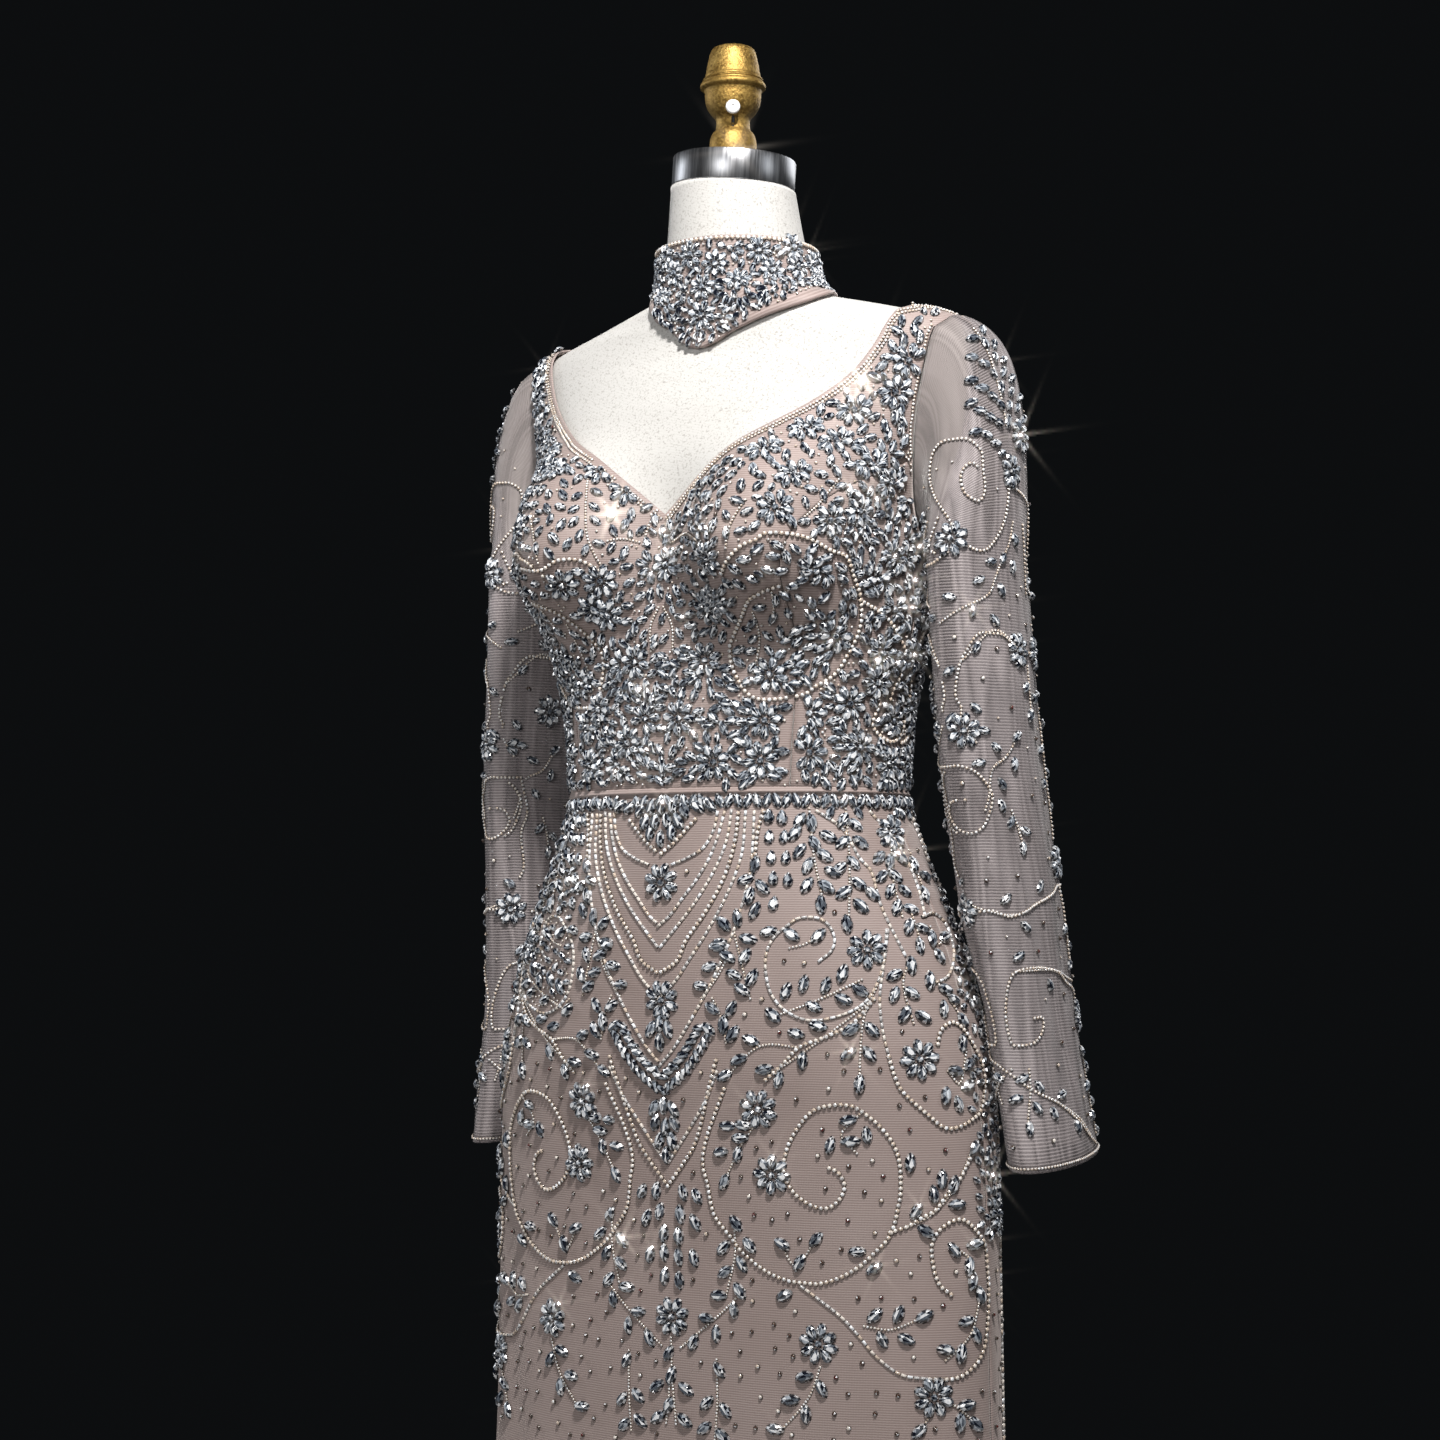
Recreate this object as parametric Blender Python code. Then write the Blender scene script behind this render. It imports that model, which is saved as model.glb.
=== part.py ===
"""Beaded evening gown, worn by a limbless dress form on a round stand.

Units are metres, +Z is up, the gown faces -Y and the origin is the middle of the stand's underside.
Heights in the tables are measured from the waist seam, which is WAIST above the floor.

The gown and the form share one block: a stack of closed sections, wide at hips and bust, that runs
from the hem to the top of the neck. Cloth panels are patches of that block, thickened inwards, and
the form is the same block set in by the cloth and a small clearance. Angles run round the block
from the centre front (0) through the wearer's left side (+90) to the centre back (180).
"""

import math
from collections import namedtuple

import bmesh
import bpy
import numpy as np
from mathutils import Matrix, Vector

# ---- driving dimensions -------------------------------------------------------------------------

WAIST = 1.060  # waist seam above the floor
HEM = 0.020 - WAIST  # the hem clears the floor by 20 mm

CLOTH = 0.0020  # wall of the mesh over satin
NET = 0.0012  # wall of the sheer sleeves
COLLAR_WALL = 0.0026  # wall of the choker, stiff with beads
SEAM_GAP = 0.0003  # between pieces that are sewn edge to edge
EASE = 0.0022  # between the cloth and the form under it
FORM_BUST = 0.87  # the form's bust, as a part of the fuller cups over it

BUST_ACROSS = 0.093  # bust point from the centre front
BUST_HEIGHT = 0.175
BUST_RISE = 0.056
BUST_ROUNDNESS = 2.7  # 2 is a plain bell, more is a fuller dome
BUST_SPREAD = 0.060  # how far the cup reaches sideways
BUST_BELOW = 0.055  # and downwards
BUST_ABOVE = 0.064  # and upwards

SHOULDER_INNER = 0.149  # strap edges on the shoulder ridge, from the centre
SHOULDER_OUTER = 0.173
UNDERARM = 0.188  # height of the armhole's lowest point
NECKLINE_POINT = 0.193  # height of the sweetheart's point, front
BACK_NECKLINE = 0.211  # height of the neckline at the centre back

SHOULDER_TIP = 0.316  # heights between which the shoulder's ridge runs
NECK_BASE = 0.360

FORM_BOTTOM = -0.270
FORM_TAPER_START = -0.180  # below this the form draws in under the hips
FORM_TAPER = 0.016
NECK_TOP = 0.438
NECK_LEAN = -0.005  # the neck's top, forward of the stand's axis

CAP_RADIUS = 0.0446  # metal neck cap
CAP_HEIGHT = 0.0225
CAP_TILT = math.radians(4.0)  # the cap sits down towards the wearer's left

POLE_RADIUS = 0.016
FLANGE_RADIUS = 0.040  # where the pole carries the form
FLANGE_HEIGHT = 0.020
FLANGE_RIM = 0.008
BASE_RADIUS = 0.160
BASE_THICKNESS = 0.012
BASE_BEVEL = 0.004
SOCKET_RADIUS = 0.030  # the raised collar that takes the pole
SOCKET_SPREAD = 0.045
SOCKET_HEIGHT = 0.018

BUTTON_RADIUS = 0.0050
BUTTON_HEIGHT = 0.0034
BUTTON_SIDES = 8
BUTTON_PITCH = 0.029
BUTTON_TOP = 0.190
BUTTON_COUNT = 12
BUTTON_SEAT = 0.0007

HEM_FLUTES = 6  # soft waves that open towards the hem
HEM_FLUTE_DEPTH = 0.008
HEM_FLUTES_FROM = -0.450

# ---- tables: one row for each section -----------------------------------------------------------

Section = namedtuple("Section", "height half_width front back shift power")
BLOCK = [
    Section(HEM, 0.262, 0.175, 0.222, 0.000, 2.05),
    Section(-0.800, 0.231, 0.130, 0.170, 0.000, 2.05),
    Section(-0.600, 0.212, 0.098, 0.132, 0.000, 2.05),
    Section(-0.435, 0.2025, 0.0820, 0.114, 0.000, 2.05),
    Section(-0.340, 0.2005, 0.0825, 0.112, 0.000, 2.05),
    Section(-0.234, 0.1975, 0.0890, 0.116, 0.000, 2.05),
    Section(-0.183, 0.1915, 0.0955, 0.119, 0.000, 2.05),
    Section(-0.150, 0.1840, 0.0970, 0.119, 0.000, 2.05),
    Section(-0.115, 0.1735, 0.0975, 0.117, 0.000, 2.05),
    Section(-0.081, 0.1595, 0.0970, 0.112, 0.000, 2.05),
    Section(-0.041, 0.1415, 0.0960, 0.104, 0.000, 2.05),
    Section(0.000, 0.1285, 0.0945, 0.0965, 0.000, 2.05),
    Section(0.050, 0.1310, 0.0945, 0.0985, 0.000, 2.05),
    Section(0.090, 0.1400, 0.0945, 0.1010, 0.000, 2.05),
    Section(0.120, 0.1445, 0.0970, 0.1030, 0.002, 2.10),
    Section(0.160, 0.1485, 0.0990, 0.1040, 0.005, 2.10),
    Section(0.193, 0.1510, 0.0985, 0.1030, 0.009, 2.10),
    Section(0.227, 0.1600, 0.0985, 0.1000, 0.012, 2.15),
    Section(0.268, 0.1725, 0.0915, 0.0950, 0.015, 2.20),
    Section(0.299, 0.1820, 0.0800, 0.0865, 0.016, 2.20),
    Section(0.314, 0.1855, 0.0735, 0.0820, 0.016, 2.20),
    Section(0.323, 0.1835, 0.0710, 0.0790, 0.016, 2.15),
    Section(0.329, 0.1770, 0.0700, 0.0765, 0.016, 2.10),
    Section(0.335, 0.1640, 0.0695, 0.0740, 0.016, 2.10),
    Section(0.340, 0.1490, 0.0690, 0.0715, 0.016, 2.05),
    Section(0.348, 0.1190, 0.0680, 0.0670, 0.014, 2.00),
    Section(0.355, 0.0900, 0.0655, 0.0635, 0.011, 2.00),
    Section(0.360, 0.0710, 0.0630, 0.0620, 0.009, 2.00),
    Section(0.366, 0.0620, 0.0605, 0.0595, 0.006, 2.00),
    Section(0.394, 0.0550, 0.0550, 0.0550, 0.000, 2.00),
    Section(NECK_TOP, 0.0492, 0.0492, 0.0492, NECK_LEAN, 2.00),
]

# Outline points: distance from the centre line, measured straight across, and height.
Outline = namedtuple("Outline", "across height")
NECKLINE = [
    Outline(0.000, NECKLINE_POINT),
    Outline(0.026, 0.2145),
    Outline(0.055, 0.2365),
    Outline(0.081, 0.2515),
    Outline(0.106, 0.2685),
    Outline(0.127, 0.2890),
    Outline(0.1395, 0.3120),
    Outline(0.1455, 0.3320),
]
BACK_NECK = [
    Outline(0.000, BACK_NECKLINE),
    Outline(0.040, 0.2145),
    Outline(0.078, 0.229),
    Outline(0.108, 0.257),
    Outline(0.129, 0.291),
    Outline(0.141, 0.320),
    Outline(0.1460, 0.3335),
]
PRINCESS = [
    Outline(0.088, 0.000),
    Outline(0.090, 0.040),
    Outline(0.096, 0.090),
    Outline(0.106, 0.145),
    Outline(0.126, 0.192),
]
FRONT_ARMHOLE = [  # from the princess seam up to the shoulder
    Outline(0.1555, 0.228),
    Outline(0.1605, 0.264),
    Outline(0.1670, 0.299),
    Outline(0.1705, 0.318),
]
BACK_ARMHOLE = [  # from the side seam up to the shoulder
    Outline(0.1540, 0.210),
    Outline(0.1610, 0.246),
    Outline(0.1680, 0.288),
    Outline(0.1710, 0.317),
]

# A hanging sleeve: its centre across from and behind the stand's axis, half its thickness, half its
# width from front edge to back edge, and its turn in degrees.
SleeveSection = namedtuple("SleeveSection", "height across back half_thick half_wide turn")
SLEEVE_LEFT = [  # the wearer's left, +X
    SleeveSection(0.160, 0.1880, 0.014, 0.0285, 0.051, 0.0),
    SleeveSection(0.040, 0.1930, 0.020, 0.0300, 0.052, 0.0),
    SleeveSection(-0.070, 0.1975, 0.041, 0.0300, 0.054, 2.0),
    SleeveSection(-0.160, 0.2085, 0.051, 0.0250, 0.055, 5.0),
    SleeveSection(-0.250, 0.2230, 0.054, 0.0250, 0.055, 6.0),
]
SLEEVE_RIGHT = [  # the wearer's right, -X: it hangs a little further forward
    SleeveSection(0.160, 0.1880, 0.014, 0.0285, 0.051, 0.0),
    SleeveSection(0.040, 0.1940, 0.019, 0.0300, 0.052, 0.0),
    SleeveSection(-0.070, 0.2030, 0.034, 0.0290, 0.053, 2.0),
    SleeveSection(-0.160, 0.2125, 0.044, 0.0250, 0.053, 4.0),
    SleeveSection(-0.250, 0.2230, 0.047, 0.0245, 0.054, 6.0),
]

CollarEdge = namedtuple("CollarEdge", "angle bottom")
COLLAR_TOP = 0.394
COLLAR_BOTTOM = [  # a point at the centre front; it sits a little turned, higher on the wearer's right
    CollarEdge(-180.0, 0.3640),
    CollarEdge(-90.0, 0.3650),
    CollarEdge(-57.0, 0.3640),
    CollarEdge(-40.0, 0.3600),
    CollarEdge(-28.0, 0.3540),
    CollarEdge(-20.0, 0.3470),
    CollarEdge(-14.0, 0.3400),
    CollarEdge(-7.0, 0.3310),
    CollarEdge(1.0, 0.3150),
    CollarEdge(9.0, 0.3250),
    CollarEdge(20.0, 0.3345),
    CollarEdge(34.0, 0.3415),
    CollarEdge(55.0, 0.3495),
    CollarEdge(90.0, 0.3580),
    CollarEdge(180.0, 0.3640),
]

Turned = namedtuple("Turned", "radius height")
FINIAL = [
    Turned(0.0160, 0.0000),
    Turned(0.0170, 0.0040),
    Turned(0.0168, 0.0140),
    Turned(0.0150, 0.0185),
    Turned(0.0125, 0.0210),
    Turned(0.0122, 0.0280),
    Turned(0.0145, 0.0315),
    Turned(0.0182, 0.0365),
    Turned(0.0202, 0.0430),
    Turned(0.0200, 0.0490),
    Turned(0.0190, 0.0515),
    Turned(0.0234, 0.0520),
    Turned(0.0238, 0.0540),
    Turned(0.0210, 0.0585),
    Turned(0.0196, 0.0605),
    Turned(0.0192, 0.0640),
    Turned(0.0176, 0.0740),
    Turned(0.0158, 0.0797),
    Turned(0.0120, 0.0822),
]
FINIAL_SCREW_HEIGHT = 0.0335
FINIAL_SCREW_FACING = math.radians(33.0)  # from the front towards the wearer's left
FINIAL_SCREW_RADIUS = 0.0052
FINIAL_SCREW_SEAT = 0.0191  # its back face, from the finial's axis

BASE_PROFILE = [
    Turned(BASE_RADIUS, 0.0),
    Turned(BASE_RADIUS, BASE_THICKNESS - BASE_BEVEL),
    Turned(BASE_RADIUS - BASE_BEVEL, BASE_THICKNESS),
    Turned(SOCKET_SPREAD, BASE_THICKNESS + 0.002),
    Turned(SOCKET_RADIUS, BASE_THICKNESS + SOCKET_HEIGHT),
]

# ---- materials ----------------------------------------------------------------------------------

Finish = namedtuple("Finish", "color roughness metallic")
FINISHES = {
    "blush_mesh": Finish((0.56, 0.43, 0.38), 0.62, 0.0),
    "sheer_net": Finish((0.58, 0.50, 0.48), 0.70, 0.0),
    "beaded_band": Finish((0.45, 0.45, 0.48), 0.35, 0.3),
    "form_linen": Finish((0.82, 0.81, 0.78), 0.85, 0.0),
    "chrome": Finish((0.60, 0.61, 0.64), 0.18, 1.0),
    "gold_paint": Finish((0.62, 0.43, 0.14), 0.38, 0.9),
    "white_plastic": Finish((0.85, 0.85, 0.84), 0.40, 0.0),
    "black_iron": Finish((0.03, 0.03, 0.033), 0.50, 0.6),
}


def material(name):
    """The named finish as a Principled BSDF, made once."""
    found = bpy.data.materials.get(name)
    if found:
        return found
    made = bpy.data.materials.new(name)
    made.use_nodes = True
    shader = made.node_tree.nodes["Principled BSDF"]
    finish = FINISHES[name]
    shader.inputs["Base Color"].default_value = (*finish.color, 1.0)
    shader.inputs["Roughness"].default_value = finish.roughness
    shader.inputs["Metallic"].default_value = finish.metallic
    return made


# ---- smooth curves through tables ---------------------------------------------------------------


def monotone(xs, ys, x):
    """Cubic through the points (xs, ys), with no overshoot between them, read at x."""
    xs, ys = np.asarray(xs, float), np.asarray(ys, float)
    steps = np.diff(xs)
    slopes = np.diff(ys) / steps
    tangents = np.zeros_like(ys)
    for i in range(1, len(xs) - 1):
        if slopes[i - 1] * slopes[i] > 0:
            near, far = 2 * steps[i] + steps[i - 1], steps[i] + 2 * steps[i - 1]
            tangents[i] = (near + far) / (near / slopes[i - 1] + far / slopes[i])
    tangents[0], tangents[-1] = slopes[0], slopes[-1]
    x = min(max(x, xs[0]), xs[-1])
    i = min(int(np.searchsorted(xs, x, side="right")) - 1, len(steps) - 1)
    t = (x - xs[i]) / steps[i]
    return float(
        (2 * t**3 - 3 * t**2 + 1) * ys[i]
        + (t**3 - 2 * t**2 + t) * steps[i] * tangents[i]
        + (3 * t**2 - 2 * t**3) * ys[i + 1]
        + (t**3 - t**2) * steps[i] * tangents[i + 1]
    )


def read_table(rows, key, column, value):
    """A table's column at a value of its key column, smoothly between the rows."""
    ordered = sorted(rows, key=lambda row: getattr(row, key))
    xs = [getattr(row, key) for row in ordered]
    return monotone(xs, [getattr(row, column) for row in ordered], value)


SECTIONS = {}


def section(height):
    """The block's section at a height, kept once worked out."""
    key = round(height, 6)
    if key not in SECTIONS:
        values = [read_table(BLOCK, "height", name, height) for name in Section._fields[1:]]
        SECTIONS[key] = Section(height, *values)
    return SECTIONS[key]


def smooth_step(low, high, value):
    t = min(max((value - low) / (high - low), 0.0), 1.0)
    return t * t * (3 - 2 * t)


# ---- the block ----------------------------------------------------------------------------------

SMALL_TURN = 0.004  # steps for slopes worked out by difference
SMALL_RISE = 0.0008


def cup(across, height, facing):
    """How far the bust stands forward of the plain section, fading out at the side seam."""
    reach = BUST_BELOW if height < BUST_HEIGHT else BUST_ABOVE
    sideways = (abs(across) - BUST_ACROSS) / BUST_SPREAD
    upright = (height - BUST_HEIGHT) / reach
    from_point = math.hypot(sideways, upright)
    return BUST_RISE * math.exp(-(from_point**BUST_ROUNDNESS)) * smooth_step(0.0, 0.5, facing)


def flute(angle, height):
    """Outward wave of the lower skirt, nothing above the thigh."""
    opening = smooth_step(HEM_FLUTES_FROM, HEM, height) if height < HEM_FLUTES_FROM else 0.0
    return HEM_FLUTE_DEPTH * opening * math.cos(HEM_FLUTES * angle)


def block_point(angle, height, fullness=1.0):
    """A point on the block's face, with no offset; fullness scales the bust."""
    row = section(height)
    sine, cosine = math.sin(angle), math.cos(angle)
    x = row.half_width * math.copysign(abs(sine) ** (2 / row.power), sine)
    depth = row.front if cosine > 0 else row.back
    y = row.shift - depth * math.copysign(abs(cosine) ** (2 / row.power), cosine)
    if cosine > 0:
        y -= cup(x, height, cosine) * fullness
    wave = flute(angle, height)
    return Vector((x + wave * sine, y - wave * cosine, height + WAIST))


def block_normal(angle, height):
    """Outward direction of the block's face."""
    low, high = max(height - SMALL_RISE, HEM), min(height + SMALL_RISE, NECK_TOP)
    across = block_point(angle + SMALL_TURN, height) - block_point(angle - SMALL_TURN, height)
    upward = block_point(angle, high) - block_point(angle, low)
    return across.cross(upward).normalized()


def on_block(angle, height, out=0.0):
    """A point standing out from the block's face."""
    return block_point(angle, height) + block_normal(angle, height) * out


def front_angle(across, height):
    """Angle of the front point that lies a distance from the centre line."""
    row = section(height)
    return math.asin(min(abs(across) / row.half_width, 1.0) ** (row.power / 2))


def back_angle(across, height):
    return math.pi - front_angle(across, height)


def ridge_height(across):
    """Height at which the shoulder's ridge is that far from the centre."""
    low, high = SHOULDER_TIP, NECK_BASE
    for _ in range(40):
        middle = (low + high) / 2
        if section(middle).half_width > across:
            low = middle
        else:
            high = middle
    return low


def nudged(angle, height, distance):
    """The angle moved round the block by a small distance."""
    ahead, behind = block_point(angle + SMALL_TURN, height), block_point(angle - SMALL_TURN, height)
    return angle + distance * 2 * SMALL_TURN / (ahead - behind).length


# ---- outlines as (angle, height) curves ---------------------------------------------------------


def resample(path, count):
    """The path of (angle, height) pairs again, with count + 1 points evenly spaced on the block."""
    fine = []
    for (angle_a, height_a), (angle_b, height_b) in zip(path, path[1:]):
        for k in range(8):
            t = k / 8
            fine.append((angle_a + (angle_b - angle_a) * t, height_a + (height_b - height_a) * t))
    fine.append(path[-1])
    points = [block_point(*place) for place in fine]
    lengths = [0.0]
    for a, b in zip(points, points[1:]):
        lengths.append(lengths[-1] + (b - a).length)
    wanted = np.linspace(0.0, lengths[-1], count + 1)
    angles = np.interp(wanted, lengths, [place[0] for place in fine])
    heights = np.interp(wanted, lengths, [place[1] for place in fine])
    return list(zip(angles.tolist(), heights.tolist()))


def smooth_outline(rows, to_angle):
    """A table of outline points as a smooth (angle, height) path."""
    count = len(rows)
    path = []
    for k in range((count - 1) * 4 + 1):
        index = k / 4
        across = monotone(range(count), [row.across for row in rows], index)
        height = monotone(range(count), [row.height for row in rows], index)
        path.append((to_angle(across, height), height))
    return path


def to_ridge(path, across):
    """The path carried on over the last of the shoulder to its ridge."""
    start_angle, start_height = path[-1]
    end_angle, end_height = math.pi / 2, ridge_height(across)
    extra = []
    for k in range(1, 7):
        t = k / 6
        lift = 1 - (1 - t) ** 2
        angle = start_angle + (end_angle - start_angle) * t
        extra.append((angle, start_height + (end_height - start_height) * lift))
    return path + extra


def neckline_front():
    return to_ridge(smooth_outline(NECKLINE, front_angle), SHOULDER_INNER)


def neckline_back():
    return to_ridge(smooth_outline(BACK_NECK, back_angle), SHOULDER_INNER)


def armhole_front():
    return to_ridge(smooth_outline(FRONT_ARMHOLE, front_angle), SHOULDER_OUTER)


def armhole_back():
    start = [(math.pi / 2, UNDERARM), (back_angle(0.1500, 0.1885), 0.1885)]
    return to_ridge(start + smooth_outline(BACK_ARMHOLE, back_angle), SHOULDER_OUTER)


def armhole_below():
    """From the side seam forward to the princess seam."""
    first = FRONT_ARMHOLE[0]
    bend = (front_angle(0.1500, 0.1900), 0.1900)
    return [(math.pi / 2, UNDERARM), bend, (front_angle(first.across, first.height), first.height)]


def princess():
    """From the waist up to the armhole."""
    first = FRONT_ARMHOLE[0]
    return smooth_outline(PRINCESS + [first], front_angle)


def straight(angle, bottom, top):
    return [(angle, bottom), (angle, top)]


# ---- building closed cloth ----------------------------------------------------------------------


def finish_object(name, mesh, finish):
    mesh.materials.append(material(finish))
    made = bpy.data.objects.new(name, mesh)
    bpy.context.scene.collection.objects.link(made)
    mesh.shade_smooth()
    mesh.set_sharp_from_angle(angle=math.radians(40))
    return made


def split_outwards(points, quad):
    """Two triangles, cut along the diagonal that stands further out, so both sheets bend alike."""
    a, b, c, d = (points[k] for k in quad)
    outward = (c - a).cross(d - b)
    i, j, k, m = quad
    if outward.dot(a + c) >= outward.dot(b + d):
        return [(i, j, k), (i, k, m)]
    return [(i, j, m), (j, k, m)]


def cloth_solid(name, outer, inner, quads, finish):
    """A wall between two sheets with the same faces, closed round every free edge."""
    count = len(outer)
    faces = [face for quad in quads for face in split_outwards(outer, quad)]
    edges = {}
    for face in faces:
        for a, b in zip(face, face[1:] + face[:1]):
            edges[(a, b)] = True
    rims = [(b, a, a + count, b + count) for a, b in edges if (b, a) not in edges]
    backs = [tuple(k + count for k in reversed(face)) for face in faces]
    mesh = bpy.data.meshes.new(name)
    mesh.from_pydata([tuple(p) for p in outer + inner], [], list(faces) + backs + rims)
    mesh.validate()
    return finish_object(name, mesh, finish)


def grid_faces(columns, rows, wrap=False):
    """Quads of a grid stored row by row, seen from outside with angles running to the right."""
    faces = []
    for j in range(rows - 1):
        for i in range(columns - (0 if wrap else 1)):
            k = (i + 1) % columns
            low, high = j * columns, (j + 1) * columns
            faces.append((low + i, low + k, high + k, high + i))
    return faces


def places_between(left, right, columns):
    """Rows of (angle, height), ruled between two edge paths with as many points each."""
    rows = []
    for (angle_a, height_a), (angle_b, height_b) in zip(left, right):
        row = []
        for i in range(columns + 1):
            t = i / columns
            row.append((angle_a + (angle_b - angle_a) * t, height_a + (height_b - height_a) * t))
        rows.append(row)
    return rows


def panel(name, rows, side, out=0.0, wall=CLOTH):
    """A cloth panel from rows of (angle, height); side -1 makes the wearer's right one."""
    flat = [place for row in rows for place in row]
    outer = [on_block(side * angle, height, out) for angle, height in flat]
    inner = [on_block(side * angle, height, out - wall) for angle, height in flat]
    faces = grid_faces(len(rows[0]), len(rows))
    if side < 0:
        faces = [tuple(reversed(face)) for face in faces]
    return cloth_solid(name, outer, inner, faces, "blush_mesh")


def shifted(path, distance):
    """A path moved round the block, to leave the seam's gap."""
    return [(nudged(angle, height, distance), height) for angle, height in path]


# ---- bodice -------------------------------------------------------------------------------------

FRONT_ROWS_BELOW, FRONT_ROWS_ABOVE, FRONT_COLUMNS = 12, 11, 8
SIDE_ROWS, SIDE_COLUMNS = 12, 4
BACK_ROWS_BELOW, BACK_ROWS_ABOVE, BACK_COLUMNS = 9, 10, 8
WAIST_EDGE = SEAM_GAP / 2
RIDGE_EDGE = math.pi / 2 - 0.0016


def end_at_shoulder(path, back):
    """The last point drawn back from the ridge by half a seam."""
    edge = math.pi - RIDGE_EDGE if back else RIDGE_EDGE
    return path[:-1] + [(edge, path[-1][1])]


def lifted_to_waist(path):
    """The first point raised off the waist seam by half a seam."""
    return [(path[0][0], WAIST_EDGE)] + path[1:]


def bodice_front():
    """Centre front with both straps: two mirrored halves joined below the sweetheart's point."""
    centre = resample(straight(0.0, WAIST_EDGE, NECKLINE_POINT), FRONT_ROWS_BELOW)
    inner_edge = centre + resample(neckline_front(), FRONT_ROWS_ABOVE)[1:]
    side_edge = resample(lifted_to_waist(princess()), FRONT_ROWS_BELOW)
    side_edge = shifted(side_edge, -SEAM_GAP) + resample(armhole_front(), FRONT_ROWS_ABOVE)[1:]
    rows = places_between(
        end_at_shoulder(inner_edge, False), end_at_shoulder(side_edge, False), FRONT_COLUMNS
    )
    outer, inner, faces = [], [], []
    shared = {}
    for side in (1, -1):
        index = []
        for j, row in enumerate(rows):
            line = []
            for i, (angle, height) in enumerate(row):
                on_centre = i == 0 and j <= FRONT_ROWS_BELOW
                if on_centre and j in shared:
                    line.append(shared[j])
                    continue
                line.append(len(outer))
                if on_centre:
                    shared[j] = len(outer)
                outer.append(on_block(side * angle, height))
                inner.append(on_block(side * angle, height, -CLOTH))
            index.append(line)
        for j in range(len(rows) - 1):
            for i in range(FRONT_COLUMNS):
                face = (index[j][i], index[j][i + 1], index[j + 1][i + 1], index[j + 1][i])
                faces.append(face if side > 0 else tuple(reversed(face)))
    return cloth_solid("bodice_front", outer, inner, faces, "blush_mesh")


def bodice_side_front(name, side):
    """From the princess seam to the side seam, up to the underarm."""
    left = shifted(resample(lifted_to_waist(princess()), SIDE_ROWS), SEAM_GAP)
    right = shifted(resample(straight(math.pi / 2, WAIST_EDGE, UNDERARM), SIDE_ROWS), -SEAM_GAP / 2)
    rows = places_between(left, right, SIDE_COLUMNS)
    rows[-1] = resample(armhole_below()[::-1], SIDE_COLUMNS)
    rows[-1][0], rows[-1][-1] = left[-1], right[-1]
    return panel(name, rows, side)


def bodice_back(name, side):
    """From the side seam to the centre back, with the back strap."""
    seam = resample(straight(math.pi / 2, WAIST_EDGE, UNDERARM), BACK_ROWS_BELOW)
    outer_edge = shifted(seam, SEAM_GAP / 2) + resample(armhole_back(), BACK_ROWS_ABOVE)[1:]
    centre = resample(straight(math.pi, WAIST_EDGE, BACK_NECKLINE), BACK_ROWS_BELOW)
    inner_edge = centre + resample(neckline_back(), BACK_ROWS_ABOVE)[1:]
    closing, neck_edge = inner_edge[: BACK_ROWS_BELOW + 1], inner_edge[BACK_ROWS_BELOW + 1 :]
    inner_edge = shifted(closing, -SEAM_GAP) + neck_edge
    rows = places_between(
        end_at_shoulder(outer_edge, True), end_at_shoulder(inner_edge, True), BACK_COLUMNS
    )
    return panel(name, rows, side)


# ---- skirt --------------------------------------------------------------------------------------

SKIRT_HEIGHTS = [
    0.0, -0.020, -0.040, -0.062, -0.086, -0.112, -0.140, -0.172, -0.208,
    -0.250, -0.300, -0.365, -0.440, -0.540, -0.660, -0.780, -0.910, HEM,
]
SKIRT_FRONT_COLUMNS, SKIRT_BACK_COLUMNS = 18, 9


def skirt_rows(first, last, columns, first_gap, last_gap):
    heights = [-SEAM_GAP / 2] + SKIRT_HEIGHTS[1:]
    rows = []
    for height in heights:
        a = nudged(first, height, first_gap)
        b = nudged(last, height, last_gap)
        rows.append([(a + (b - a) * i / columns, height) for i in range(columns + 1)])
    return rows[::-1]


def skirt_front():
    gap = SEAM_GAP / 2
    rows = skirt_rows(-math.pi / 2, math.pi / 2, SKIRT_FRONT_COLUMNS, gap, -gap)
    return panel("skirt_front", rows, 1)


def skirt_back(name, side):
    rows = skirt_rows(math.pi / 2, math.pi, SKIRT_BACK_COLUMNS, SEAM_GAP / 2, -SEAM_GAP)
    return panel(name, rows, side)


# ---- waist tape and choker ----------------------------------------------------------------------

TAPE_HALF_HEIGHT = 0.0030
TAPE_WALL = 0.0012
TAPE_SEAT = 0.0008
TAPE_COLUMNS = 2 * SKIRT_FRONT_COLUMNS


def waist_tape():
    """The fold that covers the waist seam, open at the centre back."""
    ends = nudged(math.pi, 0.0, -SEAM_GAP * 2)
    rows = []
    for height in (-TAPE_HALF_HEIGHT, 0.0, TAPE_HALF_HEIGHT):
        rows.append([(-ends + 2 * ends * i / TAPE_COLUMNS, height) for i in range(TAPE_COLUMNS + 1)])
    return panel("waist_tape", rows, 1, out=TAPE_SEAT + TAPE_WALL, wall=TAPE_WALL)


COLLAR_COLUMNS, COLLAR_ROWS = 60, 6
COLLAR_SEAT = 0.0016  # its lower edge off the form
COLLAR_STAND = 0.0020  # how much further off its upper edge stands


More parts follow.
